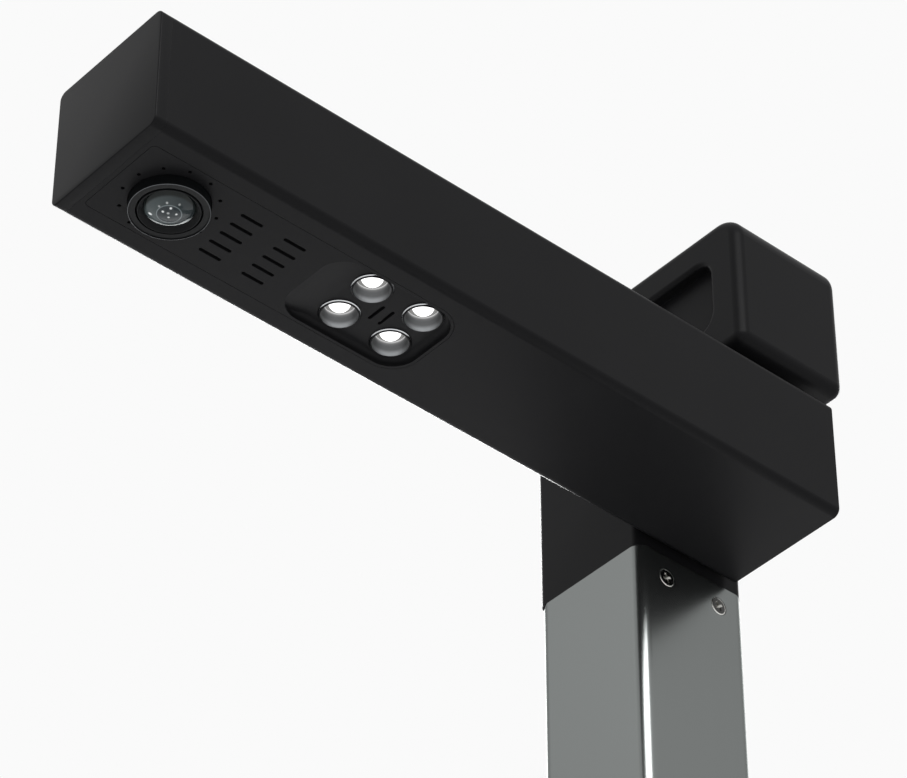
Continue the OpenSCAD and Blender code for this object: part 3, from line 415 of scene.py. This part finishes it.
def punch_cross(bm, place):
    """Adds the two crossed, tapered blades of a driver tip, point down, to a cutter."""
    for quarter in (0, math.pi / 2):
        turned = place @ Matrix.Rotation(quarter, 4, "Z")
        levels = []
        for rise, share in ((cross_overrun, 1.0), (-cross_depth, cross_taper_share)):
            # A blade narrows half as fast as it shortens.
            reach, width = cross_reach * share, cross_width / 2 * (1 + share) / 2
            levels.append([
                bm.verts.new(turned @ (Vector((x, y, rise)) * MM))
                for x, y in ((-reach, -width), (reach, -width), (reach, width), (-reach, width))
            ])
        top, bottom = levels
        bm.faces.new(top)
        bm.faces.new(bottom[::-1])
        for i in range(4):
            bm.faces.new((top[i - 1], top[i], bottom[i], bottom[i - 1]))


def nickel_plated_steel(name, colour):
    """Bright plating with a slight haze from the barrel in which the screws are plated."""
    made, tree = new_material(name)
    place = node(tree, "ShaderNodeTexCoord")
    haze = node(
        tree, "ShaderNodeTexNoise", {"Vector": (place, "Object"), "Scale": per_mm(0.8), "Detail": 3.0}
    )
    rough = node(tree, "ShaderNodeMapRange", {"Value": (haze, "Fac"), "To Min": 0.2, "To Max": 0.32})
    shader = node(
        tree, "ShaderNodeBsdfPrincipled",
        {"Base Color": linear(colour), "Metallic": 1.0, "Roughness": (rough, 0)},
    )
    node(tree, "ShaderNodeOutputMaterial", {"Surface": (shader, 0)})
    return made


def spigot_screws():
    low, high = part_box("spigot_screws")
    rise = (low.z + high.z) / 2
    depth = high.y - m4_head_r * MM
    screw_outline = softened([
        (0, -spigot_screw_l, 0), (m4_shank_r, -spigot_screw_l, shank_end_softness),
        (m4_shank_r, m4_shank_r - m4_head_r - m4_head_land, 0), (m4_head_r, -m4_head_land, 0),
        (m4_head_r, 0, nickel_rim), (0, 0, 0),
    ])
    screws, cutter, places = bmesh.new(), bmesh.new(), []
    for side in (-1, 1):
        for y in (-depth, depth):
            x = high.x if side > 0 else low.x
            spin = math.radians(cross_spin_front if y < 0 else cross_spin_rear)
            place = (
                Matrix.Translation((x, y, rise)) @ Matrix.Rotation(side * math.pi / 2, 4, "Y")
                @ Matrix.Rotation(spin, 4, "Z")
            )
            turn(screws, screw_outline, place, segments=64)
            punch_cross(cutter, place)
            places.append(place)
    bmesh.ops.recalc_face_normals(cutter, faces=cutter.faces)
    tool_mesh = bpy.data.meshes.new("cross_punch")
    cutter.to_mesh(tool_mesh)
    cutter.free()
    tool = bpy.data.objects.new("cross_punch", tool_mesh)
    bpy.context.scene.collection.objects.link(tool)
    # One plating in three tones, all painted light: the flat face is a darker copy, a painted shade, and
    # the rim and the cross's flanks are lighter copies, a painted highlight.
    finishes = [
        nickel_plated_steel("nickel_painted_shade_face", "#3e3e3d"),
        nickel_plated_steel("nickel_painted_highlight_rim", "#d4d3cf"),
        nickel_plated_steel("nickel_painted_highlight_cross", "#b3b2ae"),
    ]
    piece = new_piece("nickel_spigot_screws", screws, finishes, "stand", "spigot_screws")
    cut = piece.modifiers.new("cross", "BOOLEAN")
    cut.object = tool
    cut.operation = "DIFFERENCE"
    cut.solver = "EXACT"
    cut.use_self = True
    bpy.context.view_layer.update()
    solved = piece.evaluated_get(bpy.context.evaluated_depsgraph_get())
    finished = bpy.data.meshes.new_from_object(solved)
    piece.modifiers.clear()
    piece.data = finished
    finished.set_sharp_from_angle(angle=math.radians(sharp_edge_deg))
    face, rim, cross = range(3)
    for polygon in finished.polygons:
        near = min(places, key=lambda place: (place.translation - polygon.center).length)
        spot = near.inverted() @ polygon.center / MM
        if math.hypot(spot.x, spot.y) > m4_head_r - nickel_rim:
            polygon.material_index = rim
        elif spot.z < -face_tolerance:
            polygon.material_index = cross
        else:
            polygon.material_index = face
    bpy.data.objects.remove(tool)


spigot_screws()

# Circuit boards
# Glass-epoxy boards under solder mask. The two beside the lens and the lamps have a black mask, so
# that no colour shows through the slots.
def solder_mask(name, mask, copper):
    made, tree = new_material(name)
    place = node(tree, "ShaderNodeTexCoord")
    # Tracks 0.2 mm wide show through the mask, in rows 1.5 mm apart.
    tracks = node(
        tree, "ShaderNodeTexBrick",
        {
            "Vector": (place, "Object"), "Scale": per_mm(6), "Mortar Size": 0.03,
            "Color1": linear(mask), "Color2": linear(mask), "Mortar": linear(copper),
        },
    )
    shader = node(
        tree, "ShaderNodeBsdfPrincipled", {"Base Color": (tracks, "Color"), "Roughness": 0.35},
    )
    node(tree, "ShaderNodeOutputMaterial", {"Surface": (shader, 0)})
    return made


green_mask = solder_mask("green_solder_mask", "#1d5838", "#2f7a52")
black_mask = solder_mask("black_solder_mask", "#0b0c0c", "#141615")
for name in ("io_board", "main_board"):
    finish_node(name, green_mask)
for name in ("lamp_board", "camera_board"):
    finish_node(name, black_mask)

# Hinge bush
# A flanged bush of sintered bronze sits in the bracket and the leg's wall and carries the hinge shaft.
# It is oil filled, so its face is open pored and a dull brown gold.
def sintered_bronze():
    made, tree = new_material("sintered_bronze")
    place = node(tree, "ShaderNodeTexCoord")
    # The pores are about 0.05 mm; they are drawn at 0.4 mm so that they show.
    pores = node(
        tree, "ShaderNodeTexNoise", {"Vector": (place, "Object"), "Scale": per_mm(0.4), "Detail": 2.0}
    )
    tone = node(
        tree, "ShaderNodeMix", {"Factor": (pores, "Fac"), "A": linear("#8c7340"), "B": linear("#b2955a")},
        data_type="RGBA",
    )
    bump = node(tree, "ShaderNodeBump", {"Height": (pores, "Fac"), "Strength": 0.4, "Distance": 0.1 * MM})
    shader = node(
        tree, "ShaderNodeBsdfPrincipled",
        {"Base Color": (tone, "Result"), "Metallic": 1.0, "Roughness": 0.45, "Normal": (bump, 0)},
    )
    node(tree, "ShaderNodeOutputMaterial", {"Surface": (shader, 0)})
    return made


finish_node("hinge_bush", sintered_bronze())

# Arm's front cap
# A moulded cap closes the arm 5 mm from its front. Its rear edge is broken by the mould's parting
# line, so a fine line shows where it meets the arm's housing.
cap_front_softness = 0.5
cap_rear_softness = 0.06
cap_plate_t = 2.5
cap_tongue_l = 8.0
cap_tongue_t = 1.6
cap_tongue_inset = 2.35
arm_edge_r = 3.3
least_corner_r = 0.5
corner_steps = 10
softness_steps = 4


def edge_rounding(softness):
    """Pairs of (behind the face, in from the side) round a soft edge, from the side to the face."""
    turns = [math.pi / 2 * step / softness_steps for step in range(softness_steps + 1)]
    return [(softness * (1 - math.sin(a)), softness * (1 - math.cos(a))) for a in turns]


def arm_front_cap():
    low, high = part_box("arm_shell")
    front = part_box("arm_front_cap")[0].y
    joint = (low.y - front) / MM
    centre = Vector(((low.x + high.x) / 2, 0, (low.z + high.z) / 2))
    half_w, half_h = (high.x - low.x) / 2 / MM, (high.z - low.z) / 2 / MM

    def section(depth, inset):
        radius = max(arm_edge_r - inset, least_corner_r)
        spots = []
        for quarter in range(4):
            sx, sz = ((1, 1), (-1, 1), (-1, -1), (1, -1))[quarter]
            for step in range(corner_steps + 1):
                a = math.pi / 2 * (quarter + step / corner_steps)
                x = sx * (half_w - inset - radius) + radius * math.cos(a)
                z = sz * (half_h - inset - radius) + radius * math.sin(a)
                spots.append(centre + Vector((x * MM, front + depth * MM, z * MM)))
        return [bm.verts.new(spot) for spot in spots]

    bm = bmesh.new()
    tongue_inner = cap_tongue_inset + cap_tongue_t
    levels = edge_rounding(cap_front_softness)[::-1]
    levels += [(joint - behind, inset) for behind, inset in edge_rounding(cap_rear_softness)]
    levels += [
        (joint, cap_tongue_inset), (joint + cap_tongue_l, cap_tongue_inset),
        (joint + cap_tongue_l, tongue_inner), (cap_plate_t, tongue_inner),
    ]
    rings = [section(depth, inset) for depth, inset in levels]
    for near, far in zip(rings, rings[1:]):
        for i in range(len(near)):
            bm.faces.new((near[i - 1], near[i], far[i], far[i - 1]))
    bm.faces.new(rings[0])
    bm.faces.new(rings[-1])
    new_piece("moulded_front_cap", bm, [abs_black], "arm", "arm_front_cap")


arm_front_cap()

# Lamp reflectors
# Four cups, moulded in ABS and vacuum metallised inside, with a collar up to the diodes' board. Each
# rim stands proud of the recess floor: its face is left black, and a chamfer round it is bright.
cup_mouth_r = 7.0
cup_throat_r = 5.8
cup_depth = 4.7
cup_collar_h = 5.9
cup_wall = 0.6
cup_rim_w = 0.9
cup_rim_h = 1.9
rim_face_w = 0.45
rim_step_r = 7.6
rim_step_h = 0.34
rim_bright_h = 0.64
cup_steps = 16
bowl_pale_h = 0.8
bowl_dark_h = 2.8
painted_spill_from_h = 3.6
painted_spill_falloff = 3.0
painted_spill_strength = 0.8


def vacuum_metallised(mouth_z):
    """A film of aluminium on a satin bowl: mid grey, with soft reflections and a painted glow at its root."""
    made, tree = new_material("vacuum_metallised")
    place = node(tree, "ShaderNodeTexCoord")
    axes = node(tree, "ShaderNodeSeparateXYZ", {0: (place, "Object")})
    # The metal's tone darkens from the mouth towards the root of a cup.
    root = node(
        tree, "ShaderNodeMapRange",
        {
            "Value": (axes, "Z"),
            "From Min": mouth_z + bowl_pale_h * MM, "From Max": mouth_z + bowl_dark_h * MM,
        },
        interpolation_type="SMOOTHSTEP",
    )
    # Painted light: the root glows by emission, a painted spill of the light that leaves the diode sideways,
    # and it falls off fast.
    height = node(
        tree, "ShaderNodeMapRange",
        {
            "Value": (axes, "Z"),
            "From Min": mouth_z + painted_spill_from_h * MM, "From Max": mouth_z + cup_collar_h * MM,
        },
    )
    fall = node(tree, "ShaderNodeMath", {0: (height, 0), 1: painted_spill_falloff}, operation="POWER")
    painted_spill_glow = node(tree, "ShaderNodeMath", {0: (fall, 0), 1: painted_spill_strength}, operation="MULTIPLY")
    tone = node(
        tree, "ShaderNodeMix", {"Factor": (root, 0), "A": linear("#828486"), "B": linear("#4e4f50")},
        data_type="RGBA",
    )
    haze = node(
        tree, "ShaderNodeTexNoise", {"Vector": (place, "Object"), "Scale": per_mm(1.5), "Detail": 2.0}
    )
    rough = node(tree, "ShaderNodeMapRange", {"Value": (haze, "Fac"), "To Min": 0.34, "To Max": 0.42})
    shader = node(
        tree, "ShaderNodeBsdfPrincipled",
        {
            "Base Color": (tone, "Result"), "Metallic": 1.0, "Roughness": (rough, 0),
            "Emission Color": linear("#ffffff"), "Emission Strength": (painted_spill_glow, 0),
        },
    )
    node(tree, "ShaderNodeOutputMaterial", {"Surface": (shader, 0)})
    return made


def bright_chamfer():
    """The same film on the polished part of the mould: a thin ring that mirrors the floor."""
    made, tree = new_material("bright_chamfer")
    place = node(tree, "ShaderNodeTexCoord")
    haze = node(tree, "ShaderNodeTexNoise", {"Vector": (place, "Object"), "Scale": per_mm(1), "Detail": 2.0})
    rough = node(tree, "ShaderNodeMapRange", {"Value": (haze, "Fac"), "To Min": 0.12, "To Max": 0.2})
    shader = node(
        tree, "ShaderNodeBsdfPrincipled",
        {"Base Color": linear("#bcbec0"), "Metallic": 1.0, "Roughness": (rough, 0)},
    )
    node(tree, "ShaderNodeOutputMaterial", {"Surface": (shader, 0)})
    return made


def lamp_axes(node_name, radius):
    """Where the four lamps' axes stand, worked out from the box of what is centred on them."""
    low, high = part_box(node_name)
    inset = radius * MM
    return [(x, y) for x in (low.x + inset, high.x - inset) for y in (low.y + inset, high.y - inset)]


def lamp_cups():
    def bowl_r(share):
        return cup_throat_r + (cup_mouth_r - cup_throat_r) * math.sqrt(share)

    shares = [1 - i / cup_steps for i in range(cup_steps + 1)]
    inner = [(bowl_r(s), cup_depth * (1 - s)) for s in shares] + [(cup_throat_r, cup_collar_h)]
    outer = [(r + cup_wall, h) for r, h in reversed(inner) if h > cup_rim_h]
    outer_r = cup_mouth_r + cup_rim_w
    rim = [
        (outer_r - cup_wall / 2, cup_rim_h), (outer_r, cup_rim_h), (outer_r, rim_bright_h),
        (rim_step_r, rim_step_h), (cup_mouth_r + rim_face_w, 0),
    ]
    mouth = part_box("lamp_reflectors")[0].z
    axes = lamp_axes("lamp_reflectors", outer_r)
    bm = bmesh.new()
    for x, y in axes:
        turn(bm, inner + outer + rim, Matrix.Translation((x, y, mouth)))
    bowl, black, bright = range(3)
    for face in bm.faces:
        middle = face.calc_center_median()
        reach = min(math.hypot(middle.x - x, middle.y - y) for x, y in axes) / MM
        rise = (middle.z - mouth) / MM
        if rise < rim_step_h and reach > cup_mouth_r:
            face.material_index = black
        elif rise < rim_bright_h and reach > rim_step_r:
            face.material_index = bright
        elif reach > bowl_r(max(0, 1 - rise / cup_depth)) + cup_wall / 2:
            face.material_index = black
        else:
            face.material_index = bowl
    finishes = [vacuum_metallised(mouth), abs_black, bright_chamfer()]
    new_piece("metallised_cups", bm, finishes, "arm", "lamp_reflectors")


lamp_cups()

# Lamp diodes
# A domed silicone lens on a disc over each diode, lit. The dome is the brightest thing on the object
# and clips to white.
diode_disc_r = 5.5
diode_disc_h = 1.0
diode_disc_t = 0.4
diode_dome_r = 4.2
diode_dome_h = 3.0
diode_base_r = 3.0
diode_steps = 12
glow_full_r = 3.6
glow_end_r = 4.4
dome_glow = 1.8
disc_glow = 0.12


def lit_silicone(axes):
    """Clear silicone with the light behind it: white over the dome, grey on the disc."""
    made, tree = new_material("lit_silicone")
    place = node(tree, "ShaderNodeTexCoord")
    flat = node(
        tree, "ShaderNodeVectorMath", {0: (place, "Object"), 1: (1.0, 1.0, 0.0)}, operation="MULTIPLY"
    )
    nearest = None
    for x, y in axes:
        gap = node(tree, "ShaderNodeVectorMath", {0: (flat, 0), 1: (x, y, 0.0)}, operation="DISTANCE")
        if nearest:
            gap = node(
                tree, "ShaderNodeMath", {0: (nearest, "Value"), 1: (gap, "Value")}, operation="MINIMUM"
            )
        nearest = gap
    # The light ends with the dome, and the disc round it stays grey.
    glow = node(
        tree, "ShaderNodeMapRange",
        {
            "Value": (nearest, "Value"), "From Min": glow_end_r * MM, "From Max": glow_full_r * MM,
            "To Min": disc_glow, "To Max": dome_glow,
        },
        interpolation_type="SMOOTHSTEP",
    )
    shader = node(
        tree, "ShaderNodeBsdfPrincipled",
        {
            "Base Color": linear("#6f6e6b"), "Roughness": 0.3,
            "Emission Color": linear("#ffffff"), "Emission Strength": (glow, 0),
        },
    )
    node(tree, "ShaderNodeOutputMaterial", {"Surface": (shader, 0)})
    return made


def lamp_diodes():
    ball_r = (diode_dome_r**2 + diode_dome_h**2) / (2 * diode_dome_h)
    radii = [diode_dome_r * i / diode_steps for i in range(diode_steps + 1)]
    apex_h = diode_disc_h - diode_dome_h
    dome = [(r, apex_h + ball_r - math.sqrt(ball_r**2 - r * r)) for r in radii]
    low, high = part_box("lamp_leds")
    base_h = (high.z - low.z) / MM
    back_h = diode_disc_h + diode_disc_t
    outline = dome + [
        (diode_disc_r, diode_disc_h), (diode_disc_r, back_h), (diode_base_r, back_h),
        (diode_base_r, base_h), (0, base_h),
    ]
    axes = lamp_axes("lamp_leds", diode_disc_r)
    bm = bmesh.new()
    for x, y in axes:
        turn(bm, outline, Matrix.Translation((x, y, low.z)), segments=64)
    new_piece("lit_diodes", bm, [lit_silicone(axes)], "arm", "lamp_leds")


lamp_diodes()

# Lens barrel and hood
# Turned aluminium, black anodised: a barrel with a thin lip round its flat face, and a shallow hood
# ring pressed in behind a groove. Black anodising on a turned face is dull and very dark.
barrel_r = 14.8
barrel_tail_r = 10.8
barrel_flange_h = 8.4
barrel_tail_h = 26.4
barrel_lip_w = 0.4
barrel_lip_d = 0.4
lip_corner_w = 0.2
barrel_face_w = 2.3
groove_w = 0.7
groove_d = 3.0
hood_face_w = 0.25
hood_face_d = 0.2
glass_r = 9.3
glass_rim_d = 2.1
glass_t = 2.4
glass_dome_h = 3.6
glass_fit = 0.15
barrel_bore_r = 7.0
face_softness = 0.1
groove_softness = 0.12
hood_softness = 0.08
flange_softness = 0.2
tail_softness = 0.3
wave_unit_mm = 8.0

barrel_low, barrel_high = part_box("lens_barrel")
lens_x = (barrel_low.x + barrel_high.x) / 2
lens_y = (barrel_low.y + barrel_high.y) / 2
lens_place = Matrix.Translation((lens_x, lens_y, barrel_low.z))


def black_anodised():
    made, tree = new_material("black_anodised")
    place = node(tree, "ShaderNodeTexCoord")
    offset = node(
        tree, "ShaderNodeVectorMath", {0: (place, "Object"), 1: (lens_x, lens_y, 0.0)}, operation="SUBTRACT"
    )
    # Turning leaves rings 0.05 mm apart; they are drawn 2.5 mm apart so that they show, because the
    # wave texture turns by 20 radians over its unit of 8 mm.
    rings = node(
        tree, "ShaderNodeTexWave",
        {"Vector": (offset, 0), "Scale": per_mm(wave_unit_mm), "Distortion": 0.3},
        wave_type="RINGS", rings_direction="Z",
    )
    tone = node(
        tree, "ShaderNodeMix", {"Factor": (rings, "Fac"), "A": linear("#0b0c0d"), "B": linear("#0f1011")},
        data_type="RGBA",
    )
    rough = node(tree, "ShaderNodeMapRange", {"Value": (rings, "Fac"), "To Min": 0.38, "To Max": 0.46})
    shader = node(
        tree, "ShaderNodeBsdfPrincipled",
        {"Base Color": (tone, "Result"), "Roughness": (rough, 0), "Specular IOR Level": 0.08},
    )
    node(tree, "ShaderNodeOutputMaterial", {"Surface": (shader, 0)})
    return made


def lip_painted_highlight():
    """A lighter metal on the lip's outer corner, a painted highlight: a fine grey line."""
    made, tree = new_material("lip_painted_highlight")
    place = node(tree, "ShaderNodeTexCoord")
    haze = node(tree, "ShaderNodeTexNoise", {"Vector": (place, "Object"), "Scale": per_mm(1), "Detail": 2.0})
    rough = node(tree, "ShaderNodeMapRange", {"Value": (haze, "Fac"), "To Min": 0.25, "To Max": 0.35})
    shader = node(
        tree, "ShaderNodeBsdfPrincipled",
        {"Base Color": linear("#515355"), "Metallic": 1.0, "Roughness": (rough, 0)},
    )
    node(tree, "ShaderNodeOutputMaterial", {"Surface": (shader, 0)})
    return made


blackened = black_anodised()
for name in ("lens_cell", "lens_holder"):
    finish_node(name, blackened)


def lens_barrel():
    face_r = barrel_r - barrel_lip_w
    groove_r = face_r - barrel_face_w
    seat_r = glass_r + glass_fit
    glass_back = glass_rim_d + glass_t
    bm = bmesh.new()
    turn(bm, softened([
        (barrel_r, 0, lip_corner_w), (face_r, 0, face_softness), (face_r, barrel_lip_d, 0),
        (groove_r, barrel_lip_d, groove_softness), (groove_r, groove_d, 0), (seat_r, groove_d, 0),
        (seat_r, glass_back, 0), (barrel_bore_r, glass_back, 0),
        (barrel_bore_r, barrel_tail_h, tail_softness), (barrel_tail_r, barrel_tail_h, tail_softness),
        (barrel_tail_r, barrel_flange_h, 0), (barrel_r, barrel_flange_h, flange_softness),
    ]), lens_place, segments=128)
    # The outer corner of the lip is given a lighter metal, a painted highlight that draws a fine bright line.
    for face in bm.faces:
        middle = face.calc_center_median()
        reach = math.hypot(middle.x - lens_x, middle.y - lens_y) / MM
        if reach > barrel_r - lip_corner_w and middle.z - barrel_low.z < lip_corner_w * MM:
            face.material_index = 1
    new_piece("turned_barrel", bm, [blackened, lip_painted_highlight()], "arm", "lens_barrel")


def lens_hood():
    hood_r = barrel_r - barrel_lip_w - barrel_face_w - groove_w
    seat_r = glass_r + glass_fit
    bm = bmesh.new()
    turn(bm, softened([
        (hood_r, hood_face_d, hood_softness), (hood_r, groove_d, 0), (seat_r, groove_d, 0),
        (seat_r, glass_rim_d, 0), (hood_r - hood_face_w, hood_face_d, hood_softness),
    ]), lens_place, segments=128)
    new_piece("turned_hood", bm, [blackened], "arm", "lens_hood")


lens_barrel()
lens_hood()

# Front glass
# A domed front element with a multi-layer coating. Its weak grey green reflection is a painted reflection,
# with a painted highlight crescent at its edge.
# The rings behind it are the cell and the iris, drawn on the glass, and the sparks are painted glints of
# lamps in the inner glasses.
glass_steps = 24
inner_ring_r = 4.45
inner_ring_w = 0.3
iris_blur = 0.1
iris_mottles_per_mm = 0.9
pale_reflection_full_r = 8.3
pale_reflection_end_r = 9.2
pale_reflection_shift = 1.0
pale_reflection_lean = 8.0
crescent_start_r = 6.7
crescent_full_r = 7.9
crescent_start = 4.0
crescent_full = 6.8
glint_core_share = 0.3
# Painted glints: place right of and behind the lens axis, seen from the front right corner, radius, strength
painted_glints = (
    (-6.85, 1.1, 0.95, 0.85), (-3.3, -3.8, 0.6, 0.3), (-0.45, -5.4, 0.6, 0.4), (3.9, -4.3, 0.6, 0.3),
    (-2.1, -1.8, 0.65, 0.7), (0.8, -3.3, 0.65, 0.75), (2.6, -0.3, 0.6, 0.65), (-0.2, 1.0, 0.6, 0.6),
    (-0.25, -1.1, 0.7, 0.35),
)


def coated_glass():
    """Dark, smooth glass with a painted pale reflection on its coating, a painted highlight crescent and
    small painted glints inside.
    """
    made, tree = new_material("coated_glass")
    place = node(tree, "ShaderNodeTexCoord")
    offset = node(
        tree, "ShaderNodeVectorMath", {0: (place, "Object"), 1: (lens_x, lens_y, 0.0)}, operation="SUBTRACT"
    )
    # X runs to the right and Y away, in millimetres, for someone at the scanner's front right corner.
    turned = node(
        tree, "ShaderNodeMapping", {
            "Vector": (offset, 0), "Rotation": (0.0, 0.0, -math.radians(view_azimuth)),
            "Scale": (1 / MM, 1 / MM, 0.0),
        },
    )
    axes = node(tree, "ShaderNodeSeparateXYZ", {0: (turned, 0)})
    radius = node(tree, "ShaderNodeVectorMath", {0: (turned, 0)}, operation="LENGTH")
    depth_in = node(tree, "ShaderNodeMath", {0: (radius, "Value"), 1: inner_ring_r}, operation="SUBTRACT")
    ring_gap = node(tree, "ShaderNodeMath", {0: (depth_in, 0)}, operation="ABSOLUTE")
    ring = node(
        tree, "ShaderNodeMapRange",
        {"Value": (ring_gap, 0), "From Min": inner_ring_w, "From Max": 0.0}, interpolation_type="SMOOTHSTEP",
    )
    inside = node(
        tree, "ShaderNodeMapRange",
        {
            "Value": (radius, "Value"),
            "From Min": inner_ring_r + iris_blur, "From Max": inner_ring_r - iris_blur,
        },
    )
    # Painted reflection: a pale window painted on the coating, light on its left and darker on its right.
    pale_reflection_side = node(
        tree, "ShaderNodeMapRange",
        {"Value": (axes, "X"), "From Min": -pale_reflection_lean, "From Max": pale_reflection_lean},
    )
    painted_reflection_tone = node(
        tree, "ShaderNodeMix", {"Factor": (pale_reflection_side, 0), "A": linear("#3f4647"), "B": linear("#24292b")},
        data_type="RGBA",
    )
    mottle = node(
        tree, "ShaderNodeTexNoise", {"Vector": (turned, 0), "Scale": iris_mottles_per_mm, "Detail": 2.0}
    )
    iris = node(
        tree, "ShaderNodeMix", {"Factor": (mottle, "Fac"), "A": linear("#14171a"), "B": linear("#32383b")},
        data_type="RGBA",
    )
    with_iris = node(
        tree, "ShaderNodeMix", {"Factor": (inside, 0), "A": (painted_reflection_tone, "Result"), "B": (iris, "Result")},
        data_type="RGBA",
    )
    with_ring = node(
        tree, "ShaderNodeMix", {"Factor": (ring, 0), "A": (with_iris, "Result"), "B": linear("#646b6d")},
        data_type="RGBA",
    )
    # Painted reflection: outside the pale reflection the glass takes a painted dark reflection.
    pale_reflection_gap = node(
        tree, "ShaderNodeVectorMath", {0: (turned, 0), 1: (0.0, pale_reflection_shift, 0.0)}, operation="DISTANCE"
    )
    pale_reflection_mask = node(
        tree, "ShaderNodeMapRange",
        {"Value": (pale_reflection_gap, "Value"), "From Min": pale_reflection_end_r, "From Max": pale_reflection_full_r},
        interpolation_type="SMOOTHSTEP",
    )
    body = node(
        tree, "ShaderNodeMix", {"Factor": (pale_reflection_mask, 0), "A": linear("#141817"), "B": (with_ring, "Result")},
        data_type="RGBA",
    )
    # Painted highlight: a pale crescent is painted along the edge, on the side away from the front right
    # corner.
    edge = node(
        tree, "ShaderNodeMapRange",
        {"Value": (radius, "Value"), "From Min": crescent_start_r, "From Max": crescent_full_r},
        interpolation_type="SMOOTHSTEP",
    )
    away = node(
        tree, "ShaderNodeMapRange",
        {"Value": (axes, "Y"), "From Min": crescent_start, "From Max": crescent_full},
        interpolation_type="SMOOTHSTEP",
    )
    painted_crescent = node(tree, "ShaderNodeMath", {0: (edge, 0), 1: (away, 0)}, operation="MULTIPLY")
    colour = (node(
        tree, "ShaderNodeMix", {"Factor": (painted_crescent, 0), "A": (body, "Result"), "B": linear("#dadede")},
        data_type="RGBA",
    ), "Result")
    # Each painted glint is a small pale spot mixed into the colour.
    for right, behind, glint_r, strength in painted_glints:
        gap = node(
            tree, "ShaderNodeVectorMath", {0: (turned, 0), 1: (right, behind, 0.0)}, operation="DISTANCE"
        )
        glow = node(
            tree, "ShaderNodeMapRange",
            {
                "Value": (gap, "Value"), "From Min": glint_r, "From Max": glint_r * glint_core_share,
                "To Max": strength,
            },
            interpolation_type="SMOOTHSTEP",
        )
        colour = (node(
            tree, "ShaderNodeMix", {"Factor": (glow, 0), "A": colour, "B": linear("#dfe2e2")},
            data_type="RGBA",
        ), "Result")
    shader = node(
        tree, "ShaderNodeBsdfPrincipled",
        {"Base Color": colour, "Roughness": 0.06, "Specular IOR Level": 0.15},
    )
    node(tree, "ShaderNodeOutputMaterial", {"Surface": (shader, 0)})
    return made


def front_glass():
    ball_r = (glass_r**2 + glass_dome_h**2) / (2 * glass_dome_h)
    apex = glass_rim_d - glass_dome_h
    radii = [glass_r * i / glass_steps for i in range(glass_steps + 1)]
    dome = [(r, apex + ball_r - math.sqrt(ball_r**2 - r * r)) for r in radii]
    back = glass_rim_d + glass_t
    bm = bmesh.new()
    turn(bm, dome + [(glass_r, back), (0, back)], lens_place, segments=128)
    new_piece("front_glass", bm, [coated_glass()], "arm", "front_lens")


front_glass()

# Inner glass and image sensor
# Both are closed off behind the front glass. The second element is coated glass, dark because no
# light comes from behind it, and the sensor lies under a flat window, nearly black.
def dark_glass(name, colour):
    made, tree = new_material(name)
    place = node(tree, "ShaderNodeTexCoord")
    haze = node(tree, "ShaderNodeTexNoise", {"Vector": (place, "Object"), "Scale": per_mm(4)})
    rough = node(tree, "ShaderNodeMapRange", {"Value": (haze, "Fac"), "To Min": 0.05, "To Max": 0.12})
    shader = node(tree, "ShaderNodeBsdfPrincipled", {"Base Color": linear(colour), "Roughness": (rough, 0)})
    node(tree, "ShaderNodeOutputMaterial", {"Surface": (shader, 0)})
    return made


finish_node("inner_lens", dark_glass("inner_coated_glass", "#2a3032"))
finish_node("image_sensor", dark_glass("sensor_window", "#101319"))
